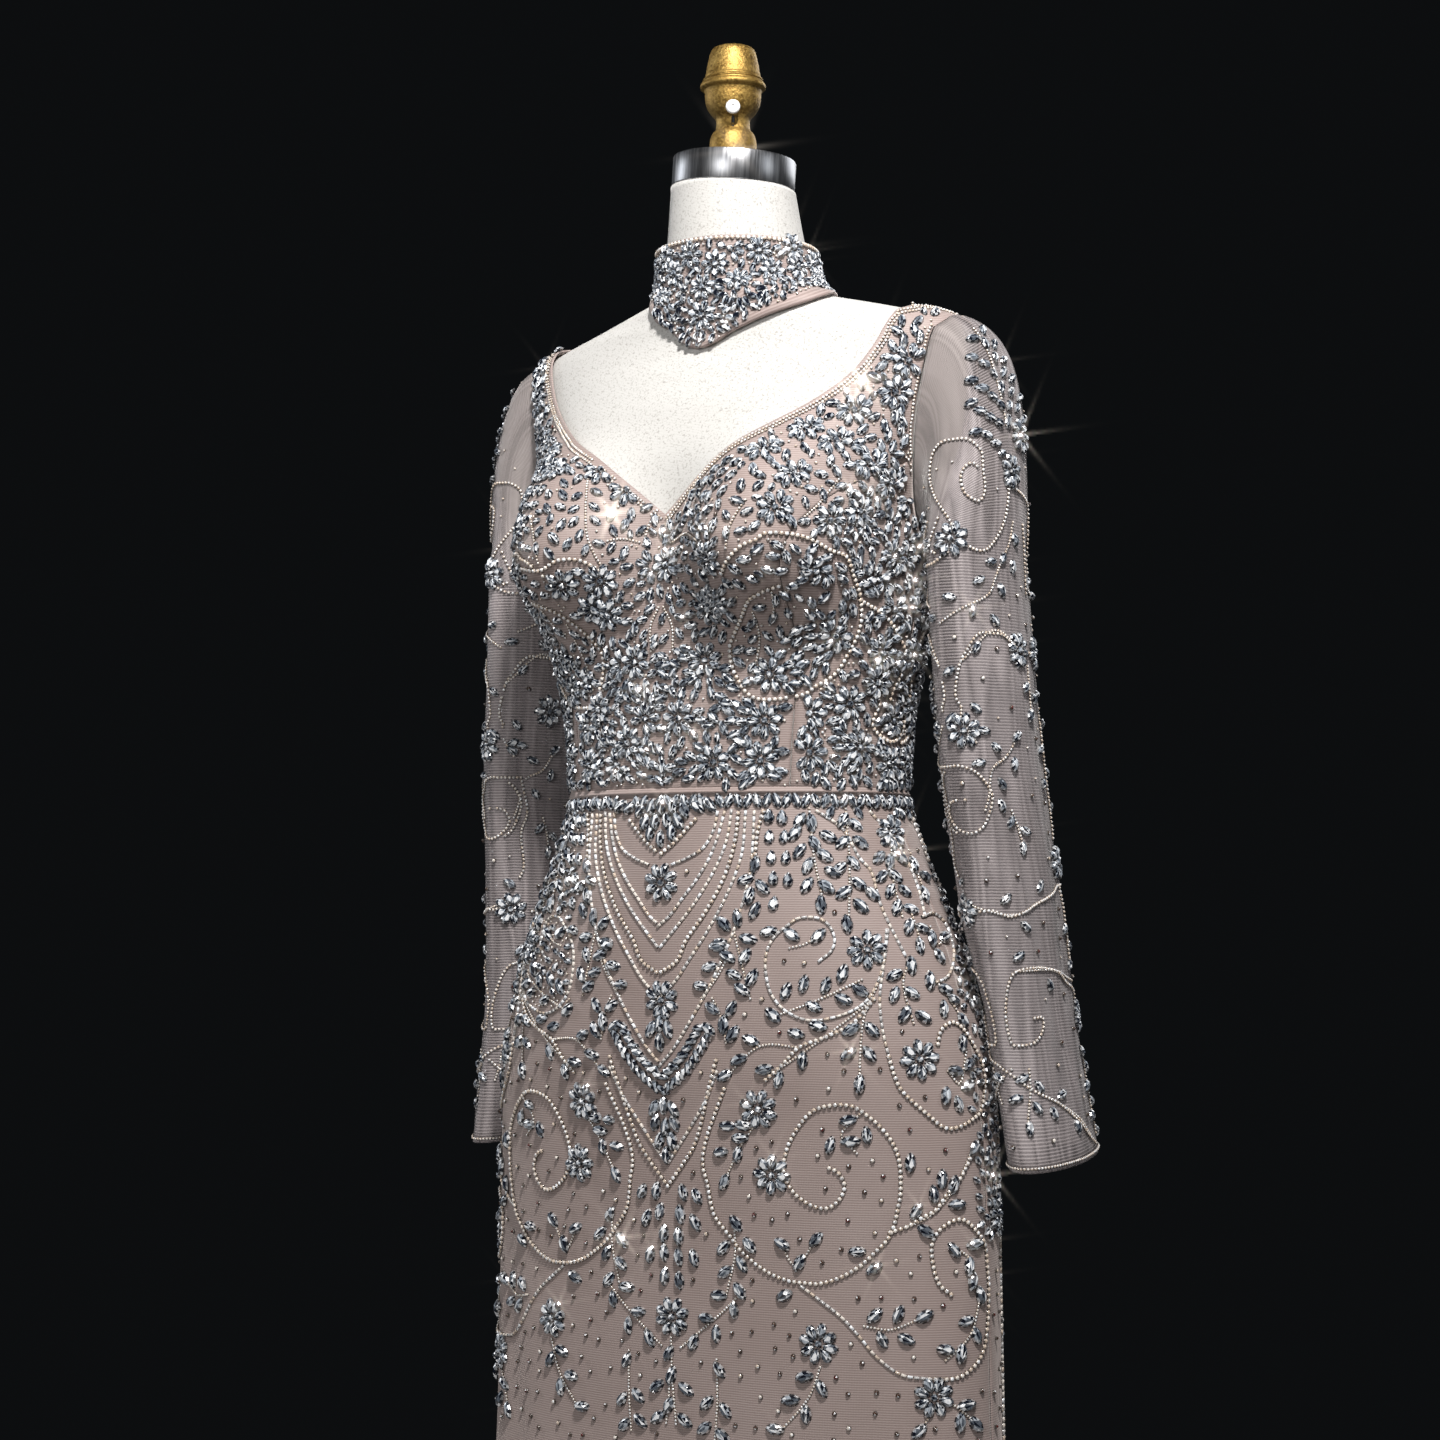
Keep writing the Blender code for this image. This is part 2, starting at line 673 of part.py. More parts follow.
def choker():
    """The standing collar, pointed at the centre front, its ends meeting at the back."""
    ends = nudged(math.pi, COLLAR_TOP, -SEAM_GAP * 2)
    outer, inner = [], []
    for j in range(COLLAR_ROWS + 1):
        rise = j / COLLAR_ROWS
        inside = COLLAR_SEAT + COLLAR_STAND * rise - CLOTH - EASE
        for i in range(COLLAR_COLUMNS + 1):
            t = 2 * i / COLLAR_COLUMNS - 1
            angle = math.copysign(abs(t) ** 1.25, t) * ends
            bottom = read_table(COLLAR_BOTTOM, "angle", "bottom", math.degrees(angle))
            height = bottom + (COLLAR_TOP - bottom) * rise
            inner.append(on_block(angle, height, inside))
            outer.append(on_block(angle, height, inside + COLLAR_WALL))
    faces = grid_faces(COLLAR_COLUMNS + 1, COLLAR_ROWS + 1)
    return cloth_solid("choker", outer, inner, faces, "beaded_band")


# ---- sleeves ------------------------------------------------------------------------------------

SLEEVE_COLUMNS = 18
CAP_ROWS = 7
TUBE_HEIGHTS = [0.110, 0.065, 0.020, -0.030, -0.080, -0.130, -0.170, -0.210, -0.250]
SLEEVE_GAP = 0.0010
CUFF_DIP = 0.006  # the cuff hangs lower at its front edge
CAP_LEAVE = 0.78  # how strongly the sleeve head leaves the armhole and meets the tube
CAP_ARRIVE = 1.05
CAP_SLOPE = 0.15  # how far it falls as it leaves, at the ridge


def armhole_ring():
    """Points of the wearer's left armhole, from the ridge down the front and up the back."""
    front = armhole_front()[::-1] + armhole_below()[::-1][1:]
    back = armhole_back()
    columns = SLEEVE_COLUMNS // 2
    return resample(front, columns)[:-1] + resample(back, columns)[:-1]


def tube_point(table, index, height):
    """A point of the hanging sleeve: index 0 outside, a quarter on in front, half on inside."""
    across, back, thick, wide, turn = (
        read_table(table, "height", name, height) for name in SleeveSection._fields[1:]
    )
    round_angle = 2 * math.pi * index / SLEEVE_COLUMNS
    turn = math.radians(turn)
    out, front = thick * math.cos(round_angle), wide * math.sin(round_angle)
    x = across + out * math.cos(turn) + front * math.sin(turn)
    y = back + out * math.sin(turn) - front * math.cos(turn)
    return Vector((x, y, height + WAIST))


def cap_line(start, end, reach):
    """Rows of the sleeve head from the armhole to the top of the tube; reach is 1 at the ridge."""
    length = (end - start).length
    steep = 1.0 - reach
    fall = CAP_SLOPE + (1.0 - CAP_SLOPE) * steep
    leave = Vector((1.0 - 0.35 * steep, 0.0, -fall)).normalized() * length * CAP_LEAVE
    arrive = Vector((0.0, 0.0, -1.0)) * length * CAP_ARRIVE
    points = []
    for j in range(CAP_ROWS):
        t = j / CAP_ROWS
        points.append(
            start * (2 * t**3 - 3 * t**2 + 1)
            + leave * (t**3 - 2 * t**2 + t)
            + end * (3 * t**2 - 2 * t**3)
            + arrive * (t**3 - t**2)
        )
    return points


def sleeve(name, table, side):
    """A long tube of net, set into the armhole and hanging beside the hip."""
    ring = armhole_ring()
    top = table[0].height
    lines = []
    for i, (angle, height) in enumerate(ring):
        start = on_block(angle, height) + Vector((SLEEVE_GAP, 0.0, 0.0))
        reach = (height - UNDERARM) / (ridge_height(SHOULDER_OUTER) - UNDERARM)
        line = cap_line(start, tube_point(table, i, top), min(max(reach, 0.0), 1.0))
        line.append(tube_point(table, i, top))
        for level in TUBE_HEIGHTS:
            point = tube_point(table, i, level)
            if level == TUBE_HEIGHTS[-1]:
                point.z -= CUFF_DIP * math.sin(2 * math.pi * i / SLEEVE_COLUMNS)
            line.append(point)
        lines.append(line)
    rows = len(lines[0])
    grid = [[lines[i][j] for i in range(SLEEVE_COLUMNS)] for j in range(rows)]
    outer, inner = [], []
    for j in range(rows):
        for i in range(SLEEVE_COLUMNS):
            along = grid[min(j + 1, rows - 1)][i] - grid[max(j - 1, 0)][i]
            round_way = grid[j][(i + 1) % SLEEVE_COLUMNS] - grid[j][i - 1]
            normal = round_way.cross(along).normalized()
            outer.append(grid[j][i])
            inner.append(grid[j][i] - normal * NET)
    faces = grid_faces(SLEEVE_COLUMNS, rows, wrap=True)
    if side < 0:
        outer = [Vector((-p.x, p.y, p.z)) for p in outer]
        inner = [Vector((-p.x, p.y, p.z)) for p in inner]
        faces = [tuple(reversed(face)) for face in faces]
    return cloth_solid(name, outer, inner, faces, "sheer_net")


# ---- buttons ------------------------------------------------------------------------------------

BUTTON_PROFILE = [
    Turned(BUTTON_RADIUS * 0.86, 0.0),
    Turned(BUTTON_RADIUS, BUTTON_HEIGHT * 0.40),
    Turned(BUTTON_RADIUS * 0.78, BUTTON_HEIGHT * 0.78),
    Turned(BUTTON_RADIUS * 0.34, BUTTON_HEIGHT),
]


def button(name, height):
    """A small covered dome at the centre back."""
    centre = on_block(math.pi, height, BUTTON_SEAT)
    normal = block_normal(math.pi, height)
    made = turned_solid(name, BUTTON_PROFILE, "blush_mesh", BUTTON_SIDES)
    turned = Vector((0.0, 0.0, 1.0)).rotation_difference(normal).to_matrix().to_4x4()
    made.matrix_world = Matrix.Translation(centre) @ turned
    return made


# ---- dress form ---------------------------------------------------------------------------------

FORM_COLUMNS = 36
FORM_HEIGHTS = [
    -0.262, -0.225, -0.180, -0.140, -0.100, -0.068, -0.042, -0.020, 0.000, 0.022, 0.050,
    0.080, 0.107, 0.127, 0.146, 0.163, 0.180, 0.198, 0.218, 0.240, 0.264, 0.286, 0.303, 0.315,
    0.323, 0.329, 0.335, 0.340, 0.346, 0.351, 0.356, 0.361, 0.368, 0.382, 0.405,
]


def cap_plane(x, height):
    """Height of a plane square to the tilted neck cap, at a distance across."""
    return height - math.tan(CAP_TILT) * x


def form_point(angle, height):
    below = 1.0 - smooth_step(FORM_BOTTOM, FORM_TAPER_START, height)
    inset = CLOTH + EASE + FORM_TAPER * below
    return block_point(angle, height, FORM_BUST) - block_normal(angle, height) * inset


def form_torso():
    """The padded body: hips, waist, bust, shoulders and neck in one smooth solid."""
    shape = bmesh.new()
    rings = []
    for height in FORM_HEIGHTS:
        ring = []
        for i in range(FORM_COLUMNS):
            ring.append(shape.verts.new(form_point(2 * math.pi * i / FORM_COLUMNS, height)))
        rings.append(ring)
    top = []
    for i in range(FORM_COLUMNS):
        point = form_point(2 * math.pi * i / FORM_COLUMNS, NECK_TOP)
        point.z = cap_plane(point.x, point.z)
        top.append(shape.verts.new(point))
    rings.append(top)
    foot = []
    for vertex in rings[0]:
        x, y, _ = vertex.co
        foot.append(shape.verts.new((x * 0.95, y * 0.95, FORM_BOTTOM + WAIST)))
    rings.insert(0, foot)
    for low, high in zip(rings, rings[1:]):
        for i in range(FORM_COLUMNS):
            k = (i + 1) % FORM_COLUMNS
            shape.faces.new((low[i], low[k], high[k], high[i]))
    shape.faces.new(rings[0][::-1])
    shape.faces.new(rings[-1])
    mesh = bpy.data.meshes.new("form_torso")
    shape.to_mesh(mesh)
    shape.free()
    return finish_object("form_torso", mesh, "form_linen")


def turned_solid(name, profile, finish, sides, base_height=0.0, tilt_foot=False):
    """A closed solid of revolution about its own Z axis, with flat ends."""
    shape = bmesh.new()
    rings = []
    for j, point in enumerate(profile):
        ring = []
        for i in range(sides):
            turn = 2 * math.pi * i / sides
            x, y = point.radius * math.cos(turn), point.radius * math.sin(turn)
            z = base_height + point.height
            if tilt_foot and j == 0:
                z = cap_plane(x, z)
            ring.append(shape.verts.new((x, y, z)))
        rings.append(ring)
    for low, high in zip(rings, rings[1:]):
        for i in range(sides):
            k = (i + 1) % sides
            shape.faces.new((low[i], low[k], high[k], high[i]))
    shape.faces.new(rings[0][::-1])
    shape.faces.new(rings[-1])
    mesh = bpy.data.meshes.new(name)
    shape.to_mesh(mesh)
    shape.free()
    return finish_object(name, mesh, finish)


def neck_cap():
    """The metal cap on the neck, a short drum with eased edges."""
    bevel = 0.0012
    profile = [
        Turned(CAP_RADIUS - bevel, 0.0),
        Turned(CAP_RADIUS, bevel),
        Turned(CAP_RADIUS, CAP_HEIGHT - bevel),
        Turned(CAP_RADIUS - bevel, CAP_HEIGHT),
    ]
    made = turned_solid("neck_cap", profile, "chrome", 32)
    made.location = (0.0, NECK_LEAN, WAIST + NECK_TOP + SEAM_GAP)
    made.rotation_euler = (0.0, CAP_TILT, 0.0)
    return made


def finial_foot():
    """Height of the cap's top face above the centre of the neck."""
    return WAIST + NECK_TOP + 2 * SEAM_GAP + CAP_HEIGHT / math.cos(CAP_TILT)


def finial_screw():
    """The round-headed screw that holds the finial, in the hollow under its bulb."""
    out = Vector((math.sin(FINIAL_SCREW_FACING), -math.cos(FINIAL_SCREW_FACING), 0.0))
    radius = FINIAL_SCREW_RADIUS
    profile = [Turned(radius, 0.0), Turned(radius, 0.0022), Turned(radius * 0.7, 0.0034)]
    made = turned_solid("finial_screw", profile, "white_plastic", 16)
    seat = FINIAL_SCREW_SEAT
    made.rotation_euler = out.to_track_quat("Z", "Y").to_euler()
    made.location = out * seat + Vector((0.0, NECK_LEAN, finial_foot() + FINIAL_SCREW_HEIGHT))
    return made


def pole():
    """The stand's tube, with a flange under the form."""
    foot = BASE_THICKNESS + SOCKET_HEIGHT + SEAM_GAP
    top = WAIST + FORM_BOTTOM - SEAM_GAP
    profile = [
        Turned(POLE_RADIUS, foot),
        Turned(POLE_RADIUS, top - FLANGE_HEIGHT),
        Turned(FLANGE_RADIUS, top - FLANGE_RIM),
        Turned(FLANGE_RADIUS, top),
    ]
    return turned_solid("stand_pole", profile, "chrome", 20)


# ---- the whole part -----------------------------------------------------------------------------


def clear_scene():
    for old in list(bpy.data.objects):
        bpy.data.objects.remove(old, do_unlink=True)


def main():
    clear_scene()
    form_torso()
    neck_cap()
    finial = turned_solid("finial", FINIAL, "gold_paint", 22, finial_foot(), tilt_foot=True)
    finial.location.y = NECK_LEAN
    finial_screw()
    pole()
    turned_solid("stand_base", BASE_PROFILE, "black_iron", 40)
    bodice_front()
    skirt_front()
    for name, side in (("left", 1), ("right", -1)):
        bodice_side_front("bodice_side_front_" + name, side)
        bodice_back("bodice_back_" + name, side)
        skirt_back("skirt_back_" + name, side)
    waist_tape()
    choker()
    sleeve("sleeve_left", SLEEVE_LEFT, 1)
    sleeve("sleeve_right", SLEEVE_RIGHT, -1)
    for k in range(BUTTON_COUNT):
        button("button_%02d" % (k + 1), BUTTON_TOP - k * BUTTON_PITCH)
    bpy.context.view_layer.update()


main()
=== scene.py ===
"""Looks of the beaded evening gown on its dress form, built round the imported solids.

Units are metres. Cloth is laid out on grids that are read by two distances: s, measured round the
body, sleeve or collar, and t, measured up it. Stones and beads are placed by s and t, so a pattern
keeps its real size wherever it lies. Pattern tables are in millimetres.
"""

import math
from collections import namedtuple

import bpy
import numpy as np
from mathutils import Matrix


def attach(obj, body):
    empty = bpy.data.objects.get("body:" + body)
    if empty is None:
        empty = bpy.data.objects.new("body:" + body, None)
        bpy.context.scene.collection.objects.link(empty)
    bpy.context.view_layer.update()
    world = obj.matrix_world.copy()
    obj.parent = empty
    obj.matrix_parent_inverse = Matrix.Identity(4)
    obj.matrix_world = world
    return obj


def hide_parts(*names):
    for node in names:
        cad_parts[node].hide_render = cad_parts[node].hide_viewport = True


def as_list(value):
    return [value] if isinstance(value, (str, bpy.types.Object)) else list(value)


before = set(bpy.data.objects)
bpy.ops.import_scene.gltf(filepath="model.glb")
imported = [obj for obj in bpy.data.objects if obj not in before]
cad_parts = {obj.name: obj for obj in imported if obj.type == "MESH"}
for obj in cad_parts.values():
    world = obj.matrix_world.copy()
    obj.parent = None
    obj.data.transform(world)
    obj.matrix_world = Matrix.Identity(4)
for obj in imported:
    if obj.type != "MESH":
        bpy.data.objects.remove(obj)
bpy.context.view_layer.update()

# ---- driving dimensions, as in the solids -------------------------------------------------------

WAIST = 1.060  # waist seam above the floor
HEM = 0.020 - WAIST
CLOTH = 0.0020
EASE = 0.0022
SEAM_GAP = 0.0003
SHELL = 0.0012  # wall of the finer cloth
NET = 0.0006
MM = 0.001

BUST_ACROSS, BUST_HEIGHT, BUST_RISE, BUST_ROUNDNESS = 0.093, 0.175, 0.056, 2.7
BUST_SPREAD, BUST_BELOW, BUST_ABOVE = 0.060, 0.055, 0.064
FORM_BUST = 0.87

SHOULDER_INNER, SHOULDER_OUTER, UNDERARM = 0.149, 0.173, 0.188
SHOULDER_TIP, NECK_BASE = 0.316, 0.360
NECKLINE_POINT, BACK_NECKLINE = 0.193, 0.211
FORM_BOTTOM, FORM_TAPER_START, FORM_TAPER = -0.270, -0.180, 0.016
NECK_TOP, NECK_LEAN = 0.438, -0.005
HEM_FLUTES, HEM_FLUTE_DEPTH, HEM_FLUTES_FROM = 6, 0.008, -0.450

# height, half width, front, back, shift, power
BLOCK = np.array([
    (HEM, 0.262, 0.175, 0.222, 0.000, 2.05),
    (-0.800, 0.231, 0.130, 0.170, 0.000, 2.05),
    (-0.600, 0.212, 0.098, 0.132, 0.000, 2.05),
    (-0.435, 0.2025, 0.0820, 0.114, 0.000, 2.05),
    (-0.340, 0.2005, 0.0825, 0.112, 0.000, 2.05),
    (-0.234, 0.1975, 0.0890, 0.116, 0.000, 2.05),
    (-0.183, 0.1915, 0.0955, 0.119, 0.000, 2.05),
    (-0.150, 0.1840, 0.0970, 0.119, 0.000, 2.05),
    (-0.115, 0.1735, 0.0975, 0.117, 0.000, 2.05),
    (-0.081, 0.1595, 0.0970, 0.112, 0.000, 2.05),
    (-0.041, 0.1415, 0.0960, 0.104, 0.000, 2.05),
    (0.000, 0.1285, 0.0945, 0.0965, 0.000, 2.05),
    (0.050, 0.1310, 0.0945, 0.0985, 0.000, 2.05),
    (0.090, 0.1400, 0.0945, 0.1010, 0.000, 2.05),
    (0.120, 0.1445, 0.0970, 0.1030, 0.002, 2.10),
    (0.160, 0.1485, 0.0990, 0.1040, 0.005, 2.10),
    (0.193, 0.1510, 0.0985, 0.1030, 0.009, 2.10),
    (0.227, 0.1600, 0.0985, 0.1000, 0.012, 2.15),
    (0.268, 0.1725, 0.0915, 0.0950, 0.015, 2.20),
    (0.299, 0.1820, 0.0800, 0.0865, 0.016, 2.20),
    (0.314, 0.1855, 0.0735, 0.0820, 0.016, 2.20),
    (0.323, 0.1835, 0.0710, 0.0790, 0.016, 2.15),
    (0.329, 0.1770, 0.0700, 0.0765, 0.016, 2.10),
    (0.335, 0.1640, 0.0695, 0.0740, 0.016, 2.10),
    (0.340, 0.1490, 0.0690, 0.0715, 0.016, 2.05),
    (0.348, 0.1190, 0.0680, 0.0670, 0.014, 2.00),
    (0.355, 0.0900, 0.0655, 0.0635, 0.011, 2.00),
    (0.360, 0.0710, 0.0630, 0.0620, 0.009, 2.00),
    (0.366, 0.0620, 0.0605, 0.0595, 0.006, 2.00),
    (0.394, 0.0550, 0.0550, 0.0550, 0.000, 2.00),
    (NECK_TOP, 0.0492, 0.0492, 0.0492, NECK_LEAN, 2.00),
])

# Outline points: distance from the centre line, and height.
NECKLINE = [(0.000, NECKLINE_POINT), (0.026, 0.2145), (0.055, 0.2365), (0.081, 0.2515),
            (0.106, 0.2685), (0.127, 0.2890), (0.1395, 0.3120), (0.1455, 0.3320)]
BACK_NECK = [(0.000, BACK_NECKLINE), (0.040, 0.2145), (0.078, 0.229), (0.108, 0.257),
             (0.129, 0.291), (0.141, 0.320), (0.1460, 0.3335)]
PRINCESS = [(0.088, 0.000), (0.090, 0.040), (0.096, 0.090), (0.106, 0.145), (0.126, 0.192)]
FRONT_ARMHOLE = [(0.1555, 0.228), (0.1605, 0.264), (0.1670, 0.299), (0.1705, 0.318)]
BACK_ARMHOLE = [(0.1540, 0.210), (0.1610, 0.246), (0.1680, 0.288), (0.1710, 0.317)]

# height, across, back, half thick, half wide, turn
SLEEVE_LEFT = np.array([
    (0.160, 0.1880, 0.014, 0.0285, 0.051, 0.0),
    (0.040, 0.1930, 0.020, 0.0300, 0.052, 0.0),
    (-0.070, 0.1975, 0.041, 0.0300, 0.054, 2.0),
    (-0.160, 0.2085, 0.051, 0.0250, 0.055, 5.0),
    (-0.250, 0.2230, 0.054, 0.0250, 0.055, 6.0),
])
SLEEVE_RIGHT = np.array([
    (0.160, 0.1880, 0.014, 0.0285, 0.051, 0.0),
    (0.040, 0.1940, 0.019, 0.0300, 0.052, 0.0),
    (-0.070, 0.2030, 0.034, 0.0290, 0.053, 2.0),
    (-0.160, 0.2125, 0.044, 0.0250, 0.053, 4.0),
    (-0.250, 0.2230, 0.047, 0.0245, 0.054, 6.0),
])
SLEEVE_GAP, CUFF, CUFF_DIP = 0.0010, -0.250, 0.006
CAP_LEAVE, CAP_ARRIVE, CAP_SLOPE = 0.78, 1.05, 0.15

COLLAR_TOP = 0.394
COLLAR_BOTTOM = [(-180.0, 0.3640), (-90.0, 0.3650), (-57.0, 0.3640), (-40.0, 0.3600), (-28.0, 0.3540),
                 (-20.0, 0.3470), (-14.0, 0.3400), (-7.0, 0.3310), (1.0, 0.3150), (9.0, 0.3250),
                 (20.0, 0.3345), (34.0, 0.3415), (55.0, 0.3495), (90.0, 0.3580), (180.0, 0.3640)]
COLLAR_SEAT, COLLAR_STAND, COLLAR_WALL = 0.0016, 0.0020, 0.0026

# ---- the block ----------------------------------------------------------------------------------


def curve(xs, ys):
    """A cubic through the points that never overshoots them, as a function of arrays."""
    xs, ys = np.asarray(xs, float), np.asarray(ys, float)
    steps = np.diff(xs)
    slopes = np.diff(ys) / steps
    tangents = np.zeros_like(ys)
    for i in range(1, len(xs) - 1):
        if slopes[i - 1] * slopes[i] > 0:
            near, far = 2 * steps[i] + steps[i - 1], steps[i] + 2 * steps[i - 1]
            tangents[i] = (near + far) / (near / slopes[i - 1] + far / slopes[i])
    tangents[0], tangents[-1] = slopes[0], slopes[-1]

    def read(x):
        x = np.clip(np.asarray(x, float), xs[0], xs[-1])
        i = np.clip(np.searchsorted(xs, x, side="right") - 1, 0, len(steps) - 1)
        t = (x - xs[i]) / steps[i]
        return ((2 * t**3 - 3 * t**2 + 1) * ys[i] + (t**3 - 2 * t**2 + t) * steps[i] * tangents[i]
                + (3 * t**2 - 2 * t**3) * ys[i + 1] + (t**3 - t**2) * steps[i] * tangents[i + 1])

    return read


SECTION = [curve(BLOCK[:, 0], BLOCK[:, k]) for k in range(1, 6)]
HALF_WIDTH, POWER = SECTION[0], SECTION[4]


def smooth_step(low, high, value):
    t = np.clip((np.asarray(value, float) - low) / (high - low), 0.0, 1.0)
    return t * t * (3 - 2 * t)


def unit(v):
    return v / np.maximum(np.linalg.norm(v, axis=-1, keepdims=True), 1e-12)


def block(angle, height, fullness=1.0):
    """Points of the gown's plain face at arrays of angle and height above the waist seam."""
    angle, height = np.broadcast_arrays(np.asarray(angle, float), np.asarray(height, float))
    half, front, back, shift, power = (read(height) for read in SECTION)
    sine, cosine = np.sin(angle), np.cos(angle)
    x = half * np.copysign(np.abs(sine) ** (2 / power), sine)
    depth = np.where(cosine > 0, front, back)
    y = shift - depth * np.copysign(np.abs(cosine) ** (2 / power), cosine)
    reach = np.where(height < BUST_HEIGHT, BUST_BELOW, BUST_ABOVE)
    away = np.hypot((np.abs(x) - BUST_ACROSS) / BUST_SPREAD, (height - BUST_HEIGHT) / reach)
    rise = BUST_RISE * np.exp(-(away**BUST_ROUNDNESS)) * smooth_step(0.0, 0.5, cosine)
    y = y - np.where(cosine > 0, rise, 0.0) * fullness
    opening = smooth_step(0.0, 1.0, (HEM_FLUTES_FROM - height) / (HEM_FLUTES_FROM - HEM))
    wave = HEM_FLUTE_DEPTH * opening * np.cos(HEM_FLUTES * angle)
    return np.stack([x + wave * sine, y - wave * cosine, height + WAIST], -1)


SMALL_TURN, SMALL_RISE = 0.004, 0.0008  # steps for slopes worked out by difference


def block_normal(angle, height):
    """Directions straight out of the plain face."""
    low, high = np.maximum(height - SMALL_RISE, HEM), np.minimum(height + SMALL_RISE, NECK_TOP)
    across = block(angle + SMALL_TURN, height) - block(angle - SMALL_TURN, height)
    return unit(np.cross(across, block(angle, high) - block(angle, low)))


# Soft creases of the cloth: angle in degrees, height, half length, half width, depth and lean in
# degrees from level. A positive depth is a trough, a negative one a ridge.
BODY_CREASES = [
    (0, -0.006, 0.080, 0.0050, 0.0007, 0),
    (62, -0.010, 0.060, 0.0070, 0.0009, -8),
    (-60, -0.012, 0.055, 0.0070, 0.0009, 9),
    (84, 0.045, 0.045, 0.0080, 0.0013, 14),
    (-86, 0.038, 0.050, 0.0080, 0.0013, -12),
    (92, 0.075, 0.034, 0.0070, 0.0010, 20),
    (-94, 0.084, 0.030, 0.0065, 0.0009, -22),
    (140, 0.040, 0.060, 0.0090, 0.0016, -10),
    (-138, 0.032, 0.065, 0.0090, 0.0015, 9),
    (150, 0.078, 0.048, 0.0080, 0.0012, -16),
    (-152, 0.082, 0.042, 0.0080, 0.0012, 15),
    (128, -0.036, 0.055, 0.0090, 0.0013, 12),
    (-126, -0.030, 0.050, 0.0085, 0.0012, -13),
    (24, -0.245, 0.090, 0.0110, 0.0010, 62),
    (-22, -0.262, 0.085, 0.0100, 0.0009, -60),
    (48, -0.380, 0.110, 0.0140, 0.0018, 78),
    (-52, -0.395, 0.120, 0.0150, 0.0017, -80),
    (8, -0.520, 0.140, 0.0160, 0.0022, 84),
    (74, -0.560, 0.150, 0.0180, 0.0024, 86),
    (-78, -0.600, 0.160, 0.0180, 0.0023, -85),
    (-30, -0.640, 0.150, 0.0170, -0.0020, -84),
    (34, -0.700, 0.160, 0.0180, -0.0022, 83),
    (108, -0.480, 0.150, 0.0170, 0.0021, -80),
    (-112, -0.520, 0.140, 0.0170, 0.0022, 82),
    (146, -0.620, 0.170, 0.0190, 0.0025, -84),
    (-150, -0.660, 0.160, 0.0190, 0.0024, 85),
    (170, -0.250, 0.060, 0.0100, 0.0012, 30),
    (-168, -0.270, 0.055, 0.0100, 0.0011, -28),
]
CREASE_GIRTH = 0.165  # metres of cloth for each radian, for laying out creases


def creased(creases, turn, height, girth, upright=False):
    """How far creases move cloth in or out; lean is from level, or from upright."""
    total = np.zeros(np.broadcast(turn, height).shape)
    for degrees, level, length, width, depth, lean in creases:
        round_it = ((turn - math.radians(degrees) + math.pi) % (2 * math.pi) - math.pi) * girth
        a, b = (height - level, round_it) if upright else (round_it, height - level)
        cosine, sine = math.cos(math.radians(lean)), math.sin(math.radians(lean))
        along, over = a * cosine + b * sine, b * cosine - a * sine
        total -= depth * np.exp(-((along / length) ** 4) - (over / width) ** 2)
    return total


def face(angle, height, out=0.0):
    """Points of the cloth's face with its creases."""
    angle, height = np.asarray(angle, float), np.asarray(height, float)
    move = creased(BODY_CREASES, angle, height, CREASE_GIRTH) + out
    return block(angle, height) + block_normal(angle, height) * move[..., None]


def front_angle(across, height):
    """Angle at the front of a distance from the centre line."""
    return np.arcsin(np.minimum(np.abs(across) / HALF_WIDTH(height), 1.0) ** (POWER(height) / 2))


def back_angle(across, height):
    return math.pi - front_angle(across, height)


# ---- outlines as paths of (angle, height) -------------------------------------------------------


def ridge_height(across):
    """Height of the shoulder's ridge at a distance from the centre line."""
    low, high = SHOULDER_TIP, NECK_BASE
    for _ in range(40):
        middle = (low + high) / 2
        low, high = (middle, high) if HALF_WIDTH(middle) > across else (low, middle)
    return low


def smooth_outline(rows, to_angle):
    """A smooth path of (angle, height) from rows of (distance, height)."""
    rows = np.array(rows)
    index = np.linspace(0, len(rows) - 1, (len(rows) - 1) * 4 + 1)
    across = curve(range(len(rows)), rows[:, 0])(index)
    height = curve(range(len(rows)), rows[:, 1])(index)
    return np.stack([to_angle(across, height), height], 1)


def to_ridge(path, across):
    """The path carried on to the shoulder's ridge, steepest at first."""
    start, end = path[-1], np.array([math.pi / 2, ridge_height(across)])
    t = np.linspace(0, 1, 7)[1:, None]
    return np.concatenate([path, start + (end - start) * np.hstack([t, 1 - (1 - t) ** 2])])


def resample(path, count):
    """The path with count + 1 points, evenly spaced on the block."""
    path = np.asarray(path, float)
    index = np.linspace(0, len(path) - 1, (len(path) - 1) * 8 + 1)
    fine = np.stack([np.interp(index, range(len(path)), path[:, k]) for k in (0, 1)], 1)
    steps = np.linalg.norm(np.diff(block(fine[:, 0], fine[:, 1]), axis=0), axis=1)
    lengths = np.concatenate([[0], np.cumsum(steps)])
    wanted = np.linspace(0, lengths[-1], count + 1)
    return np.stack([np.interp(wanted, lengths, fine[:, k]) for k in (0, 1)], 1)


def shifted(path, distance):
    """A path moved round the block, to leave the seam's gap."""
    ahead = block(path[:, 0] + SMALL_TURN, path[:, 1])
    behind = block(path[:, 0] - SMALL_TURN, path[:, 1])
    step = distance * 2 * SMALL_TURN / np.linalg.norm(ahead - behind, axis=1)
    return np.stack([path[:, 0] + step, path[:, 1]], 1)


def straight(angle, bottom, top):
    return np.array([(angle, bottom), (angle, top)])


def neckline_front():
    return to_ridge(smooth_outline(NECKLINE, front_angle), SHOULDER_INNER)


def neckline_back():
    return to_ridge(smooth_outline(BACK_NECK, back_angle), SHOULDER_INNER)


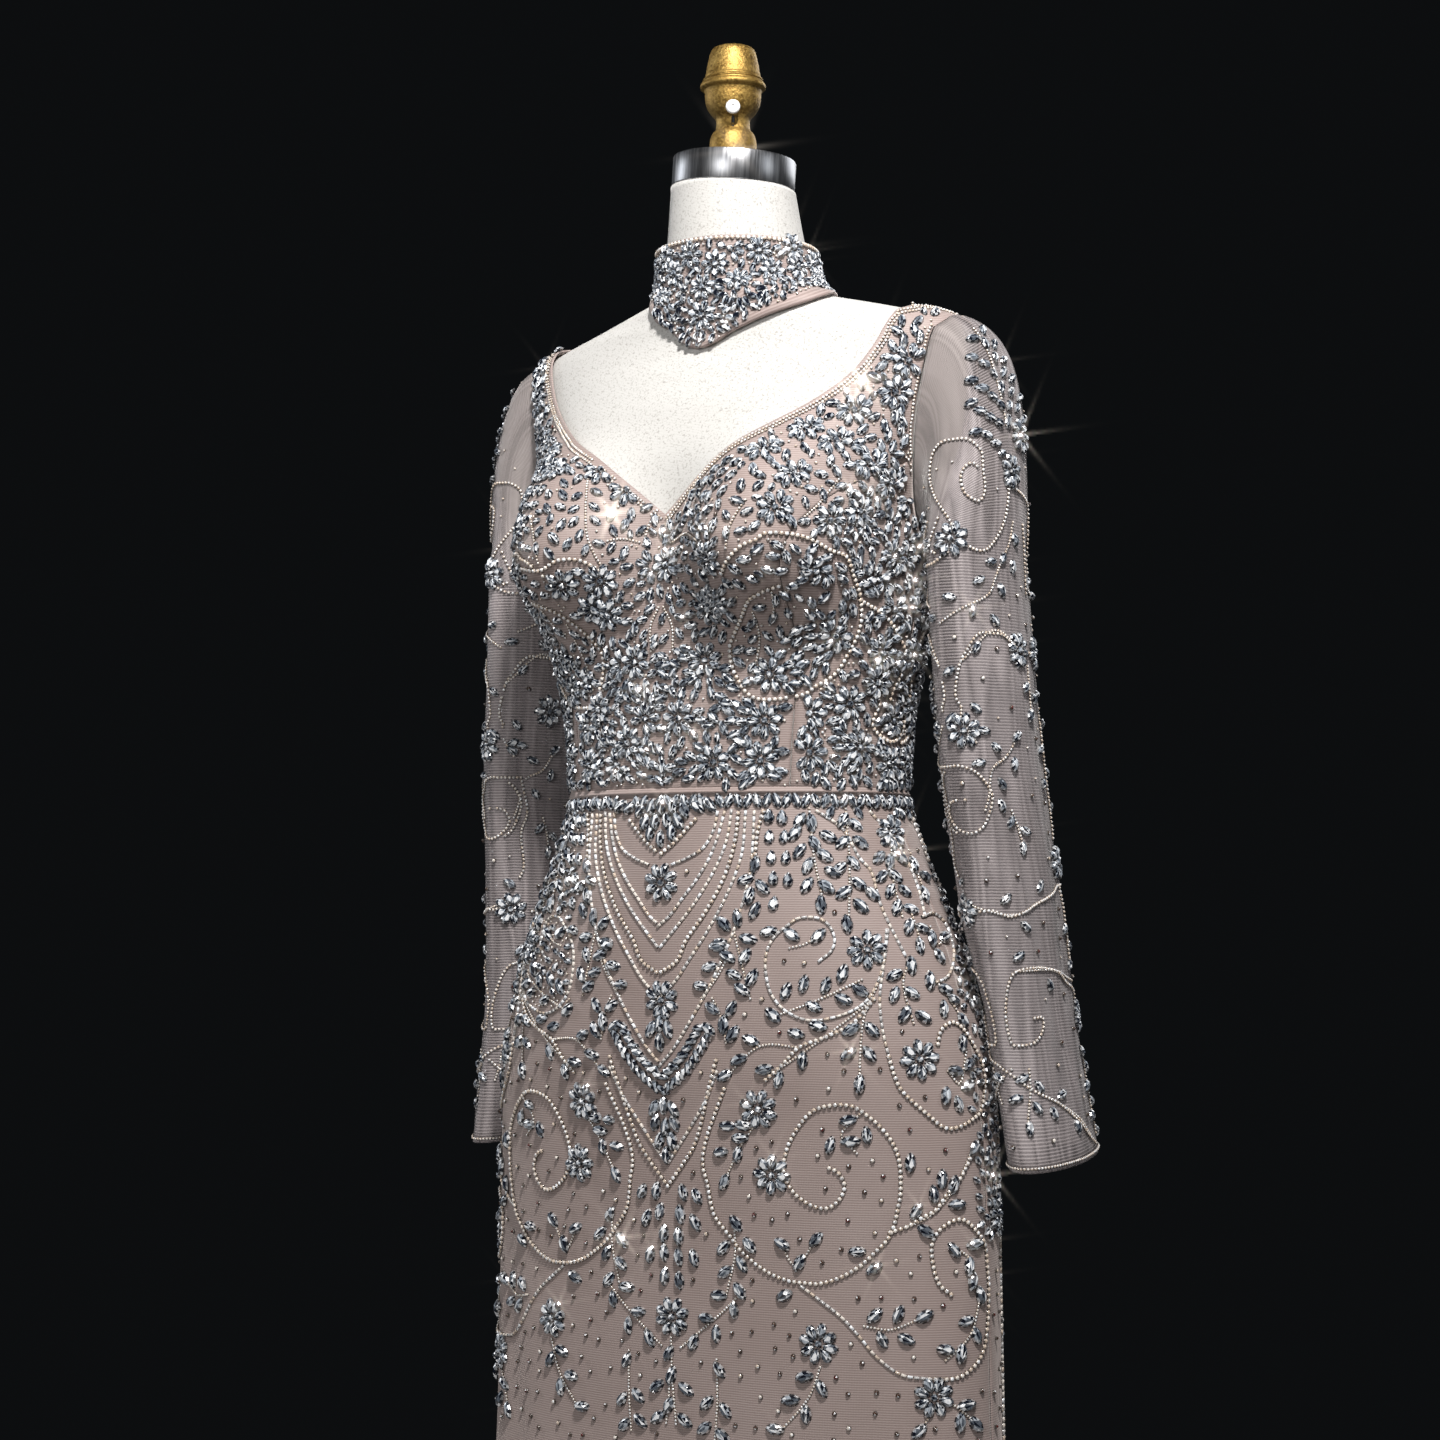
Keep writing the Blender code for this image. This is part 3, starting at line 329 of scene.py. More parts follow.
def armhole_front():
    """From the princess seam up to the ridge."""
    return to_ridge(smooth_outline(FRONT_ARMHOLE, front_angle), SHOULDER_OUTER)


def armhole_back():
    start = np.array([(math.pi / 2, UNDERARM), (back_angle(0.1500, 0.1885), 0.1885)])
    return to_ridge(np.concatenate([start, smooth_outline(BACK_ARMHOLE, back_angle)]), SHOULDER_OUTER)


def armhole_below():
    """From the side seam forward to the princess seam."""
    across, height = FRONT_ARMHOLE[0]
    return np.array([(math.pi / 2, UNDERARM), (front_angle(0.1500, 0.1900), 0.1900),
                     (front_angle(across, height), height)])


def princess():
    return smooth_outline(PRINCESS + FRONT_ARMHOLE[:1], front_angle)


# ---- meshes -------------------------------------------------------------------------------------


def add_object(name, data, matrix=None):
    made = bpy.data.objects.new(name, data)
    bpy.context.scene.collection.objects.link(made)
    if matrix is not None:
        made.matrix_world = matrix
    return made


def axes_at(place, x, y, z):
    """The matrix that puts an object at a place, with its axes along x, y and z."""
    return Matrix([[x[i], y[i], z[i], place[i]] for i in range(3)] + [[0, 0, 0, 1]])


def link(name, mesh, materials, node=None, matrix=None):
    """A piece on the part's one body, which stands for a CAD node where one is named."""
    for material in materials:
        mesh.materials.append(material)
    made = add_object(name, mesh, matrix)
    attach(made, "root")
    if node is not None:
        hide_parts(node)
    return made


def mesh_from(name, points, polygons, smooth=True, slots=None, uv=None):
    """A mesh from arrays; polygons is one array of quads or triangles, or a list of such arrays."""
    groups = polygons if isinstance(polygons, list) else [polygons]
    mesh = bpy.data.meshes.new(name)
    corners = np.concatenate([g.ravel() for g in groups])
    totals = np.concatenate([np.full(len(g), g.shape[1]) for g in groups])
    starts = np.concatenate([[0], np.cumsum(totals)[:-1]])
    mesh.vertices.add(len(points))
    mesh.vertices.foreach_set("co", np.asarray(points, np.float32).ravel())
    mesh.loops.add(len(corners))
    mesh.loops.foreach_set("vertex_index", corners.astype(np.int32))
    mesh.polygons.add(len(totals))
    mesh.polygons.foreach_set("loop_start", starts.astype(np.int32))
    mesh.polygons.foreach_set("use_smooth", np.full(len(totals), smooth))
    if slots is not None:
        mesh.polygons.foreach_set("material_index", np.asarray(slots, np.int32))
    if uv is not None:
        layer = mesh.uv_layers.new(name="cloth")
        layer.uv.foreach_set("vector", np.asarray(uv, np.float32)[corners].ravel())
    mesh.update(calc_edges=True)
    return mesh


def grid_quads(rows, columns, wrap=False):
    """Quads of a grid stored row by row, seen from outside."""
    j, i = np.meshgrid(np.arange(rows - 1), np.arange(columns if wrap else columns - 1), indexing="ij")
    k = (i + 1) % columns
    quads = [j * columns + i, j * columns + k, (j + 1) * columns + k, (j + 1) * columns + i]
    return np.stack([q.ravel() for q in quads], 1)


def thickened(outer, normals, quads, wall):
    """Points and quads of a closed wall behind a sheet."""
    count = len(outer)
    edges = np.concatenate([quads[:, [a, (a + 1) % 4]] for a in range(4)])
    keys = np.sort(edges, 1)
    keys = keys[:, 0] * count + keys[:, 1]
    _, first, times = np.unique(keys, return_index=True, return_counts=True)
    free = edges[first[times == 1]]
    rims = np.stack([free[:, 1], free[:, 0], free[:, 0] + count, free[:, 1] + count], 1)
    points = np.concatenate([outer, outer - normals * wall])
    return points, np.concatenate([quads, quads[:, ::-1] + count, rims])


def sewn(name, node, outer, normals, quads, flat, wall=SHELL, material=None):
    """A closed cloth wall behind outer points; flat says where each point lies on the flat cloth."""
    points, quads = thickened(outer.reshape(-1, 3), normals.reshape(-1, 3), quads, wall)
    flat = np.asarray(flat).reshape(-1, 2)
    mesh = mesh_from(name, points, quads, uv=np.concatenate([flat, flat]))
    return link(name, mesh, [material or BLUSH], node)


def body_flat(angle, height):
    """Where points of the bodice and skirt lie on the flat cloth."""
    return np.stack([angle.ravel() * CREASE_GIRTH, height.ravel()], 1)


def cloth_panel(name, node, places, side=1):
    """A panel from a grid of (angle, height) on the wearer's left, or mirrored to the right."""
    angle, height = side * places[..., 0], places[..., 1]
    quads = grid_quads(*angle.shape)
    quads = quads if side > 0 else quads[:, ::-1]
    return sewn(name, node, face(angle, height), block_normal(angle, height), quads,
                body_flat(angle, height))


def between(left, right, columns):
    """A grid of places, straight across from one edge to the other."""
    t = np.linspace(0, 1, columns + 1)[None, :, None]
    return left[:, None, :] * (1 - t) + right[:, None, :] * t


def closed_tube(rings):
    """Points and faces of a tube given as rings from its foot up, closed by a fan at each end."""
    rows, sides = rings.shape[:2]
    count, last = rows * sides, (rows - 1) * sides
    k, after = np.arange(sides), (np.arange(sides) + 1) % sides
    foot = np.stack([np.full(sides, count), after, k], 1)
    top = np.stack([np.full(sides, count + 1), last + k, last + after], 1)
    points = np.concatenate([rings.reshape(-1, 3), rings[:1].mean(1), rings[-1:].mean(1)])
    return points, [grid_quads(rows, sides, wrap=True), foot, top]


def ring_at(radius, height, sides):
    turn = np.linspace(0, 2 * math.pi, sides, endpoint=False)
    return np.stack([radius * np.cos(turn), radius * np.sin(turn), np.full(sides, height)], 1)


def lathe(name, node, profile, sides, material, matrix=None):
    """A closed solid of revolution about Z, from (radius, height) rows, with flat ends."""
    points, faces = closed_tube(np.array([ring_at(radius, height, sides) for radius, height in profile]))
    mesh = mesh_from(name, points, faces)
    mesh.set_sharp_from_angle(angle=math.radians(35))
    return link(name, mesh, [material], node, matrix)


# ---- materials ----------------------------------------------------------------------------------


class Paint:
    """A Principled material and short ways of feeding its sockets."""

    def __init__(self, name, color, roughness, **sockets):
        self.material = bpy.data.materials.new(name)
        self.material.use_nodes = True
        self.tree = self.material.node_tree
        self.shader = self.tree.nodes["Principled BSDF"]
        self.set("Base Color", (*color, 1.0))
        self.set("Roughness", roughness)
        for socket, value in sockets.items():
            self.set(socket.replace("_", " "), value)

    def set(self, socket, value):
        self.shader.inputs[socket].default_value = value

    def node(self, kind, inputs=(), **settings):
        made = self.tree.nodes.new(kind)
        for key, value in settings.items():
            setattr(made, key, value)
        for key, value in dict(inputs).items():
            if isinstance(value, bpy.types.NodeSocket):
                self.tree.links.new(value, made.inputs[key])
            else:
                made.inputs[key].default_value = value
        return made

    def feed(self, socket, output):
        self.tree.links.new(output, self.shader.inputs[socket])

    def place(self):
        """Where a point lies on the object, in metres."""
        return self.node("ShaderNodeTexCoord").outputs["Object"]

    def cloth_place(self):
        """Where a point lies on the flat cloth, in metres."""
        return self.node("ShaderNodeUVMap", uv_map="cloth").outputs["UV"]

    def noise(self, vector, scale, detail=3.0, roughness=0.5):
        inputs = {"Vector": vector, "Scale": scale, "Detail": detail, "Roughness": roughness}
        return self.node("ShaderNodeTexNoise", inputs).outputs["Fac"]

    def threads(self, vector, pitch, direction, wander):
        """Even ribs across one direction of the cloth, from 0 to 1."""
        inputs = {"Vector": vector, "Scale": 2 * math.pi / (20 * pitch), "Distortion": wander,
                  "Detail": 2.0, "Detail Scale": 0.6}
        return self.node("ShaderNodeTexWave", inputs, bands_direction=direction).outputs["Fac"]

    def ramp(self, value, stops):
        """Colours or greys along a value; stops are (place, colour) or (place, grey) pairs."""
        made = self.node("ShaderNodeValToRGB", {"Fac": value})
        elements = made.color_ramp.elements
        while len(elements) < len(stops):
            elements.new(0.5)
        for element, (place, color) in zip(elements, stops):
            element.position = place
            element.color = (*(color if isinstance(color, tuple) else (color,) * 3), 1.0)
        return made.outputs["Color"]

    def mixed(self, factor, a, b, blend="MIX"):
        made = self.node("ShaderNodeMix", data_type="RGBA", blend_type=blend)
        for key, value in (("Factor", factor), ("A", a), ("B", b)):
            socket = [s for s in made.inputs if s.name == key and s.enabled][0]
            if isinstance(value, bpy.types.NodeSocket):
                self.tree.links.new(value, socket)
            else:
                socket.default_value = value if key == "Factor" else (*value, 1.0)
        return [s for s in made.outputs if s.enabled][0]

    def math(self, operation, a, b=0.0, clamp=False):
        made = self.node("ShaderNodeMath", {0: a, 1: b}, operation=operation, use_clamp=clamp)
        return made.outputs["Value"]

    def bump(self, height, distance, strength=1.0, under=None):
        inputs = {"Height": height, "Distance": distance, "Strength": strength}
        if under is not None:
            inputs["Normal"] = under
        return self.node("ShaderNodeBump", inputs).outputs["Normal"]


RIB_PITCH, NET_RIB_PITCH, THREAD_PITCH = 0.0016, 0.0021, 0.0011


def paint_blush_mesh():
    """Fine ribbed mesh laid over blush satin."""
    paint = Paint("blush_mesh", (0.62, 0.46, 0.41), 0.55, Sheen_Weight=0.35, Sheen_Roughness=0.45)
    paint.set("Sheen Tint", (1.0, 0.90, 0.86, 1.0))
    paint.set("Specular IOR Level", 0.35)
    flat = paint.cloth_place()
    ribs = paint.threads(flat, RIB_PITCH, "Y", 0.6)
    threads = paint.threads(flat, THREAD_PITCH, "X", 0.4)
    clouds = paint.noise(flat, 9.0, 4.0)
    weave = paint.math("ADD", paint.math("MULTIPLY", ribs, 0.75), paint.math("MULTIPLY", threads, 0.25))
    cloth = paint.ramp(weave, [(0.15, (0.285, 0.222, 0.208)), (0.85, (0.405, 0.335, 0.318))])
    shade = paint.ramp(clouds, [(0.30, (0.90, 0.885, 0.875)), (0.70, (1.0, 1.0, 1.0))])
    paint.feed("Base Color", paint.mixed(1.0, cloth, shade, "MULTIPLY"))
    paint.feed("Roughness", paint.ramp(weave, [(0.0, 0.44), (1.0, 0.66)]))
    soft = paint.bump(clouds, 0.0012, 0.35)
    paint.feed("Normal", paint.bump(weave, 0.00018, 0.55, soft))
    return paint.material


def paint_satin_fold():
    """The plain folded strip over the waist seam, and the covered buttons."""
    paint = Paint("satin_fold", (0.50, 0.37, 0.33), 0.42, Sheen_Weight=0.25, Sheen_Roughness=0.4)
    flat = paint.place()
    grain = paint.noise(flat, 900.0, 2.0)
    paint.feed("Base Color", paint.ramp(grain, [(0.3, (0.40, 0.29, 0.26)), (0.7, (0.55, 0.42, 0.38))]))
    paint.feed("Roughness", paint.ramp(grain, [(0.3, 0.36), (0.7, 0.52)]))
    paint.feed("Normal", paint.bump(grain, 0.0002, 0.4))
    return paint.material


def paint_net():
    """Sheer ribbed net that lets the dark behind it through, with blush facing at the armhole."""
    paint = Paint("sheer_net", (0.40, 0.37, 0.37), 0.6, Sheen_Weight=0.3, Sheen_Roughness=0.35)
    flat = paint.cloth_place()
    ribs = paint.threads(flat, NET_RIB_PITCH, "Y", 0.5)
    threads = paint.threads(flat, THREAD_PITCH, "X", 0.5)
    clouds = paint.noise(flat, 14.0, 4.0)
    apart = paint.node("ShaderNodeSeparateXYZ", {"Vector": flat})
    hang = paint.node("ShaderNodeMapping", {"Vector": flat, "Scale": (1.0, 0.07, 1.0)}).outputs["Vector"]
    folds = paint.noise(hang, 40.0, 1.0)
    streaks = paint.ramp(folds, [(0.37, 0.0), (0.42, 0.36), (0.47, 0.02), (0.53, 0.46), (0.57, 0.08),
                                 (0.66, 0.40)])
    up = paint.ramp(apart.outputs["Y"], [(0.440, 0.0), (0.520, 1.0)])
    narrowing = paint.math("MULTIPLY", paint.math("SUBTRACT", apart.outputs["Y"], 0.50, True), 0.45)
    reach = paint.math("ADD", paint.math("ABSOLUTE", apart.outputs["X"]), narrowing)
    ahead = paint.ramp(reach, [(0.060, 0.0), (0.066, 1.0)])
    facing = paint.math("MULTIPLY", up, ahead)
    net = paint.math("MAXIMUM", ribs, paint.math("MULTIPLY", threads, 0.55))
    cloth = paint.ramp(clouds, [(0.30, (0.385, 0.345, 0.350)), (0.72, (0.575, 0.518, 0.525))])
    ribbed = paint.mixed(ribs, paint.mixed(1.0, cloth, (0.74, 0.73, 0.74), "MULTIPLY"), cloth)
    paint.feed("Base Color", paint.mixed(facing, ribbed, (0.27, 0.238, 0.232)))
    sheer = paint.ramp(net, [(0.30, 0.08), (0.92, 0.40)])
    alpha = paint.math("ADD", paint.math("ADD", sheer, streaks), paint.math("MULTIPLY", facing, 0.45), True)
    paint.feed("Alpha", alpha)
    paint.feed("Normal", paint.bump(paint.math("ADD", net, folds), 0.0005, 0.5))
    return paint.material


def paint_linen():
    """Tight white linen over the padded form."""
    paint = Paint("form_linen", (0.80, 0.79, 0.76), 0.9, Sheen_Weight=0.15)
    place = paint.place()
    weft = paint.threads(place, 0.0012, "Z", 0.5)
    warp = paint.threads(place, 0.0012, "X", 0.5)
    weave = paint.math("MULTIPLY", weft, warp)
    fleck = paint.noise(place, 700.0, 2.0)
    cloth = paint.ramp(fleck, [(0.30, (0.36, 0.35, 0.33)), (0.46, (0.56, 0.555, 0.54))])
    paint.feed("Base Color", cloth)
    paint.feed("Roughness", paint.ramp(weave, [(0.0, 0.95), (1.0, 0.82)]))
    paint.feed("Normal", paint.bump(weave, 0.00025, 0.4))
    return paint.material


def paint_steel():
    """Brushed steel, its fine marks running up the piece."""
    paint = Paint("chrome", (0.42, 0.43, 0.45), 0.25, Metallic=1.0)
    drawn = paint.node("ShaderNodeMapping", {"Vector": paint.place(), "Scale": (1.0, 1.0, 0.03)})
    marks = paint.noise(drawn.outputs["Vector"], 520.0, 4.0, 0.7)
    paint.feed("Base Color", paint.ramp(marks, [(0.30, (0.16, 0.165, 0.18)), (0.72, (0.42, 0.43, 0.45))]))
    paint.feed("Roughness", paint.ramp(marks, [(0.25, 0.28), (0.75, 0.42)]))
    paint.feed("Normal", paint.bump(marks, 0.0001, 0.15))
    return paint.material


def paint_gold():
    """Matt gold paint over a cast surface, darker where its grain and clouds are low, which is where the
    bump sinks.
    """
    paint = Paint("gold_paint", (0.60, 0.40, 0.13), 0.36, Metallic=0.85)
    place = paint.place()
    grain, clouds = paint.noise(place, 520.0, 4.0, 0.6), paint.noise(place, 90.0, 4.0)
    both = paint.math("ADD", paint.math("MULTIPLY", grain, 0.6), paint.math("MULTIPLY", clouds, 0.4))
    paint.feed("Base Color", paint.ramp(
        both, [(0.33, (0.15, 0.080, 0.018)), (0.50, (0.34, 0.215, 0.058)), (0.66, (0.50, 0.34, 0.105))]))
    paint.feed("Roughness", paint.ramp(grain, [(0.3, 0.38), (0.7, 0.60)]))
    paint.feed("Normal", paint.bump(both, 0.0012, 0.75))
    return paint.material


def paint_grained(name, low, high, rough_low, rough_high, scale, **sockets):
    """A plain material with a fine uneven grain in its colour, gloss and surface."""
    paint = Paint(name, high, rough_high, **sockets)
    grain = paint.noise(paint.place(), scale, 3.0)
    paint.feed("Base Color", paint.ramp(grain, [(0.30, low), (0.70, high)]))
    paint.feed("Roughness", paint.ramp(grain, [(0.30, rough_low), (0.70, rough_high)]))
    paint.feed("Normal", paint.bump(grain, 0.0003, 0.2))
    return paint.material


BLUSH, SATIN, SHEER, LINEN, GOLD, STEEL = (
    paint_blush_mesh(), paint_satin_fold(), paint_net(), paint_linen(), paint_gold(), paint_steel())
WHITE_SCREW = paint_grained("white_plastic", (0.76, 0.76, 0.75), (0.88, 0.88, 0.87), 0.3, 0.45, 600.0)
BLACK_IRON = paint_grained("black_iron", (0.020, 0.020, 0.022), (0.045, 0.045, 0.048), 0.42, 0.62, 260.0,
                           Metallic=0.4)
PALE_FLOOR = paint_grained("pale_floor", (0.60, 0.59, 0.575), (0.68, 0.67, 0.655), 0.55, 0.7, 6.0)

# ---- the cloth grids that beads are laid out on -------------------------------------------------


class Cloth:
    """A sheet as a grid of points, read by distance round it (s) and by its rows' own measure (t)."""

    def __init__(self, points, levels, start):
        self.points, self.levels = points, np.asarray(levels, float)
        steps = np.linalg.norm(np.diff(points, axis=1), axis=2)
        s = np.concatenate([np.zeros((len(points), 1)), np.cumsum(steps, 1)], 1)
        self.s = s - s[:, start:start + 1]
        across, upward = np.gradient(points, axis=1), np.gradient(points, axis=0)
        self.normals = unit(np.cross(across, upward))
        self.across = unit(across)
        self.stretch = np.linalg.norm(upward, axis=2) / np.gradient(self.levels)[:, None]

    def find(self, s, t):
        """The grid's cell at each place, and how far up and over that cell the place lies."""
        s, t = np.asarray(s, float), np.asarray(t, float)
        row = np.clip(np.searchsorted(self.levels, t, side="right") - 1, 0, len(self.levels) - 2)
        up = np.clip((t - self.levels[row]) / (self.levels[row + 1] - self.levels[row]), 0, 1)
        line = self.s[row] * (1 - up)[:, None] + self.s[row + 1] * up[:, None]
        column = np.clip((line <= s[:, None]).sum(1) - 1, 0, line.shape[1] - 2)
        k = np.arange(len(s))
        over = np.clip((s - line[k, column]) / (line[k, column + 1] - line[k, column]), 0, 1)
        return row, up, column, over

    def read(self, values, where):
        """Values that are known at the grid's points, read at places from find."""
        row, up, column, over = where
        if values.ndim == 3:
            up, over = up[:, None], over[:, None]
        low = values[row, column] * (1 - over) + values[row, column + 1] * over
        high = values[row + 1, column] * (1 - over) + values[row + 1, column + 1] * over
        return low * (1 - up) + high * up

    def frames(self, s, t):
        """Point, direction round, direction up and normal at each place."""
        where = self.find(s, t)
        point = self.read(self.points, where)
        normal = unit(self.read(self.normals, where))
        across = self.read(self.across, where)
        across = unit(across - normal * (across * normal).sum(1, keepdims=True))
        return point, across, np.cross(normal, across), normal

    def per_length(self, s, t):
        """How much t changes for each metre up the cloth."""
        return 1.0 / self.read(self.stretch, self.find(s, t))

    def half_girth_mm(self, t):
        """Half the way round at a distance up, both in mm."""
        return np.interp(t * MM, self.levels, self.s[:, -1]) / MM


def body_cloth():
    heights = np.linspace(HEM, 0.365, 282)
    angles = np.linspace(-math.pi, math.pi, 361)
    return Cloth(face(angles[None, :], heights[:, None]), heights, 180)


BODY = body_cloth()

# Soft folds of a sleeve: turn in degrees from its outside line towards the front, height, half
# length, half width, depth and lean from upright.
SLEEVE_FOLDS = [
    (38, 0.060, 0.120, 0.0060, 0.0022, 3),
    (62, 0.020, 0.150, 0.0050, 0.0016, -3),
    (20, -0.090, 0.130, 0.0070, 0.0024, 4),
    (55, -0.110, 0.110, 0.0055, 0.0020, -5),
    (-25, -0.020, 0.140, 0.0080, 0.0024, -4),
    (-60, -0.120, 0.110, 0.0070, 0.0022, 6),
    (78, -0.180, 0.080, 0.0060, 0.0020, 8),
    (0, -0.200, 0.060, 0.0080, -0.0018, -12),
    (120, -0.060, 0.120, 0.0070, 0.0022, 5),
    (-110, 0.020, 0.110, 0.0070, 0.0022, -6),
    (42, 0.190, 0.050, 0.0080, 0.0018, 24),
    (74, 0.205, 0.045, 0.0070, 0.0016, 34),
    (-50, 0.180, 0.055, 0.0080, 0.0020, -24),
    (150, -0.200, 0.070, 0.0080, 0.0022, -10),
    (-150, -0.140, 0.090, 0.0080, 0.0022, 8),
]
SLEEVE_GIRTH = 0.042  # metres of net for each radian
SLEEVE_COLUMNS, CAP_ROWS, TUBE_ROWS = 72, 26, 52


def armhole_ring(columns):
    """Points of the wearer's left armhole, from the ridge down the front and up the back."""
    front = np.concatenate([armhole_front()[::-1], armhole_below()[::-1][1:]])
    return np.concatenate([resample(front, columns // 2)[:-1],
                           resample(armhole_back(), columns // 2)[:-1]])


def sleeve_grid(table):
    """Rows of points down the wearer's left sleeve, columns from its outside round by the front."""
    ring = armhole_ring(SLEEVE_COLUMNS)
    turn = np.linspace(0, 2 * math.pi, SLEEVE_COLUMNS, endpoint=False)
    shape = [curve(table[::-1, 0], table[::-1, k]) for k in range(1, 6)]

    def tube(level):
        across, back, thick, wide, lean = (read(level) for read in shape)
        lean = np.radians(lean)
        out, front = thick * np.cos(turn), wide * np.sin(turn)
        x = across + out * np.cos(lean) + front * np.sin(lean)
        y = back + out * np.sin(lean) - front * np.cos(lean)
        return np.stack([x, y, np.full(SLEEVE_COLUMNS, level + WAIST)], 1)

    top = table[0, 0]
    start = block(ring[:, 0], ring[:, 1]) + [SLEEVE_GAP, 0, 0]
    end = tube(top)
    reach = np.clip((ring[:, 1] - UNDERARM) / (ridge_height(SHOULDER_OUTER) - UNDERARM), 0, 1)
    steep = (1 - reach)[:, None]
    length = np.linalg.norm(end - start, axis=1)[:, None]
    fall = CAP_SLOPE + (1 - CAP_SLOPE) * steep
    leave = unit(np.hstack([1 - 0.35 * steep, np.zeros_like(steep), -fall])) * length * CAP_LEAVE
    arrive = np.array([0, 0, -1.0]) * length * CAP_ARRIVE
    rows = []
    for t in np.linspace(0, 1, CAP_ROWS, endpoint=False):
        rows.append(start * (2 * t**3 - 3 * t**2 + 1) + leave * (t**3 - 2 * t**2 + t)
                    + end * (3 * t**2 - 2 * t**3) + arrive * (t**3 - t**2))
    for level in np.linspace(top, CUFF, TUBE_ROWS):
        row = tube(level)
        row[:, 2] -= CUFF_DIP * np.sin(turn) * smooth_step(CUFF + 0.04, CUFF, level)
        rows.append(row)
    points = np.array(rows)
    across = np.roll(points, -1, 1) - np.roll(points, 1, 1)
    normals = unit(np.cross(across, np.gradient(points, axis=0)))
    height = points[..., 2] - WAIST
    settle = smooth_step(0, 8, np.arange(len(rows)))[:, None]
    folds = creased(SLEEVE_FOLDS, turn[None, :], height, SLEEVE_GIRTH, upright=True)
    return points + normals * (folds * settle)[..., None]


def sleeve_cloth(table, side):
    """The sleeve as a Cloth: rows from the cuff up, s = 0 on its outside line."""
    grid = sleeve_grid(table)[::-1]
    middle = SLEEVE_COLUMNS // 2
    order = np.arange(-middle, middle + 1) % SLEEVE_COLUMNS
    if side > 0:
        grid = grid[:, order[::-1]]
    else:
        grid = grid[:, order] * [-1, 1, 1]
    outside = grid[:, middle]
    levels = np.concatenate([[0], np.cumsum(np.linalg.norm(np.diff(outside, axis=0), axis=1))])
    return Cloth(grid, levels, middle)


LEFT_SLEEVE, RIGHT_SLEEVE = sleeve_cloth(SLEEVE_LEFT, 1), sleeve_cloth(SLEEVE_RIGHT, -1)

COLLAR_COLUMNS, COLLAR_ROWS = 160, 20
COLLAR_ENDS = math.pi - 0.010
COLLAR_EDGE = curve(*zip(*COLLAR_BOTTOM))


def collar_face(angle, height):
    """Points and normals of the choker's outer face at arrays of angle and height."""
    bottom = COLLAR_EDGE(np.degrees(angle))
    rise = np.clip((height - bottom) / (COLLAR_TOP - bottom), 0, 1)
    normals = block_normal(angle, height)
    out = COLLAR_SEAT + COLLAR_STAND * rise - CLOTH - EASE + COLLAR_WALL
    return block(angle, height) + normals * out[..., None], normals


def neck_cloth():
    """The choker's outer face as a Cloth, with rows at even heights."""
    heights = np.linspace(0.306, COLLAR_TOP, 60)[:, None]
    angles = np.linspace(-COLLAR_ENDS, COLLAR_ENDS, 361)[None, :]
    return Cloth(collar_face(angles, heights)[0], heights[:, 0], 180)


# ---- cloth pieces -------------------------------------------------------------------------------


RIDGE_EDGE = 0.0016  # radians from the shoulder's ridge to the panels' ends


def end_at_shoulder(path, back):
    """The path with its last point just in front of or behind the ridge."""
    path = path.copy()
    path[-1, 0] = math.pi / 2 + (RIDGE_EDGE if back else -RIDGE_EDGE)
    return path


def lifted_to_waist(path):
    """The path with its start half a seam's gap above the waist."""
    path = path.copy()
    path[0, 1] = SEAM_GAP / 2
    return path


FRONT_BELOW, FRONT_ABOVE, FRONT_COLUMNS = 44, 40, 34
SIDE_ROWS, SIDE_COLUMNS = 44, 16
BACK_BELOW, BACK_ABOVE, BACK_COLUMNS = 40, 36, 34


def bodice_front():
    """Centre front with both straps, in two mirrored halves welded below the neckline's point."""
    centre = resample(straight(0.0, SEAM_GAP / 2, NECKLINE_POINT), FRONT_BELOW)
    inner = np.concatenate([centre, resample(neckline_front(), FRONT_ABOVE)[1:]])
    side = shifted(resample(lifted_to_waist(princess()), FRONT_BELOW), -SEAM_GAP)
    side = np.concatenate([side, resample(armhole_front(), FRONT_ABOVE)[1:]])
    places = between(end_at_shoulder(inner, False), end_at_shoulder(side, False), FRONT_COLUMNS)
    rows, columns = places.shape[:2]
    half = rows * columns
    quads = grid_quads(rows, columns)
    move = np.arange(2 * half)
    seam = np.arange(FRONT_BELOW + 1) * columns
    move[half + seam] = seam
    used, quads = np.unique(move[np.concatenate([quads, quads[:, ::-1] + half])], return_inverse=True)
    angle = np.concatenate([places[..., 0].ravel(), -places[..., 0].ravel()])[used]
    height = np.tile(places[..., 1].ravel(), 2)[used]
    sewn("cloth_bodice_front", "bodice_front", face(angle, height), block_normal(angle, height),
         quads.reshape(-1, 4), body_flat(angle, height))


def bodice_side_front(word, side):
    """From the princess seam to the side seam, its top bent along the armhole."""
    left = shifted(resample(lifted_to_waist(princess()), SIDE_ROWS), SEAM_GAP)
    right = shifted(resample(straight(math.pi / 2, SEAM_GAP / 2, UNDERARM), SIDE_ROWS), -SEAM_GAP / 2)
    top = resample(armhole_below()[::-1], SIDE_COLUMNS)
    places = between(left, right, SIDE_COLUMNS)
    rise = smooth_step(0.55, 1.0, np.linspace(0, 1, SIDE_ROWS + 1))[:, None, None]
    places = places + (top - places[-1])[None] * rise
    places[:, 0], places[:, -1] = left, right
    cloth_panel("cloth_side_front_" + word, "bodice_side_front_" + word, places, side)


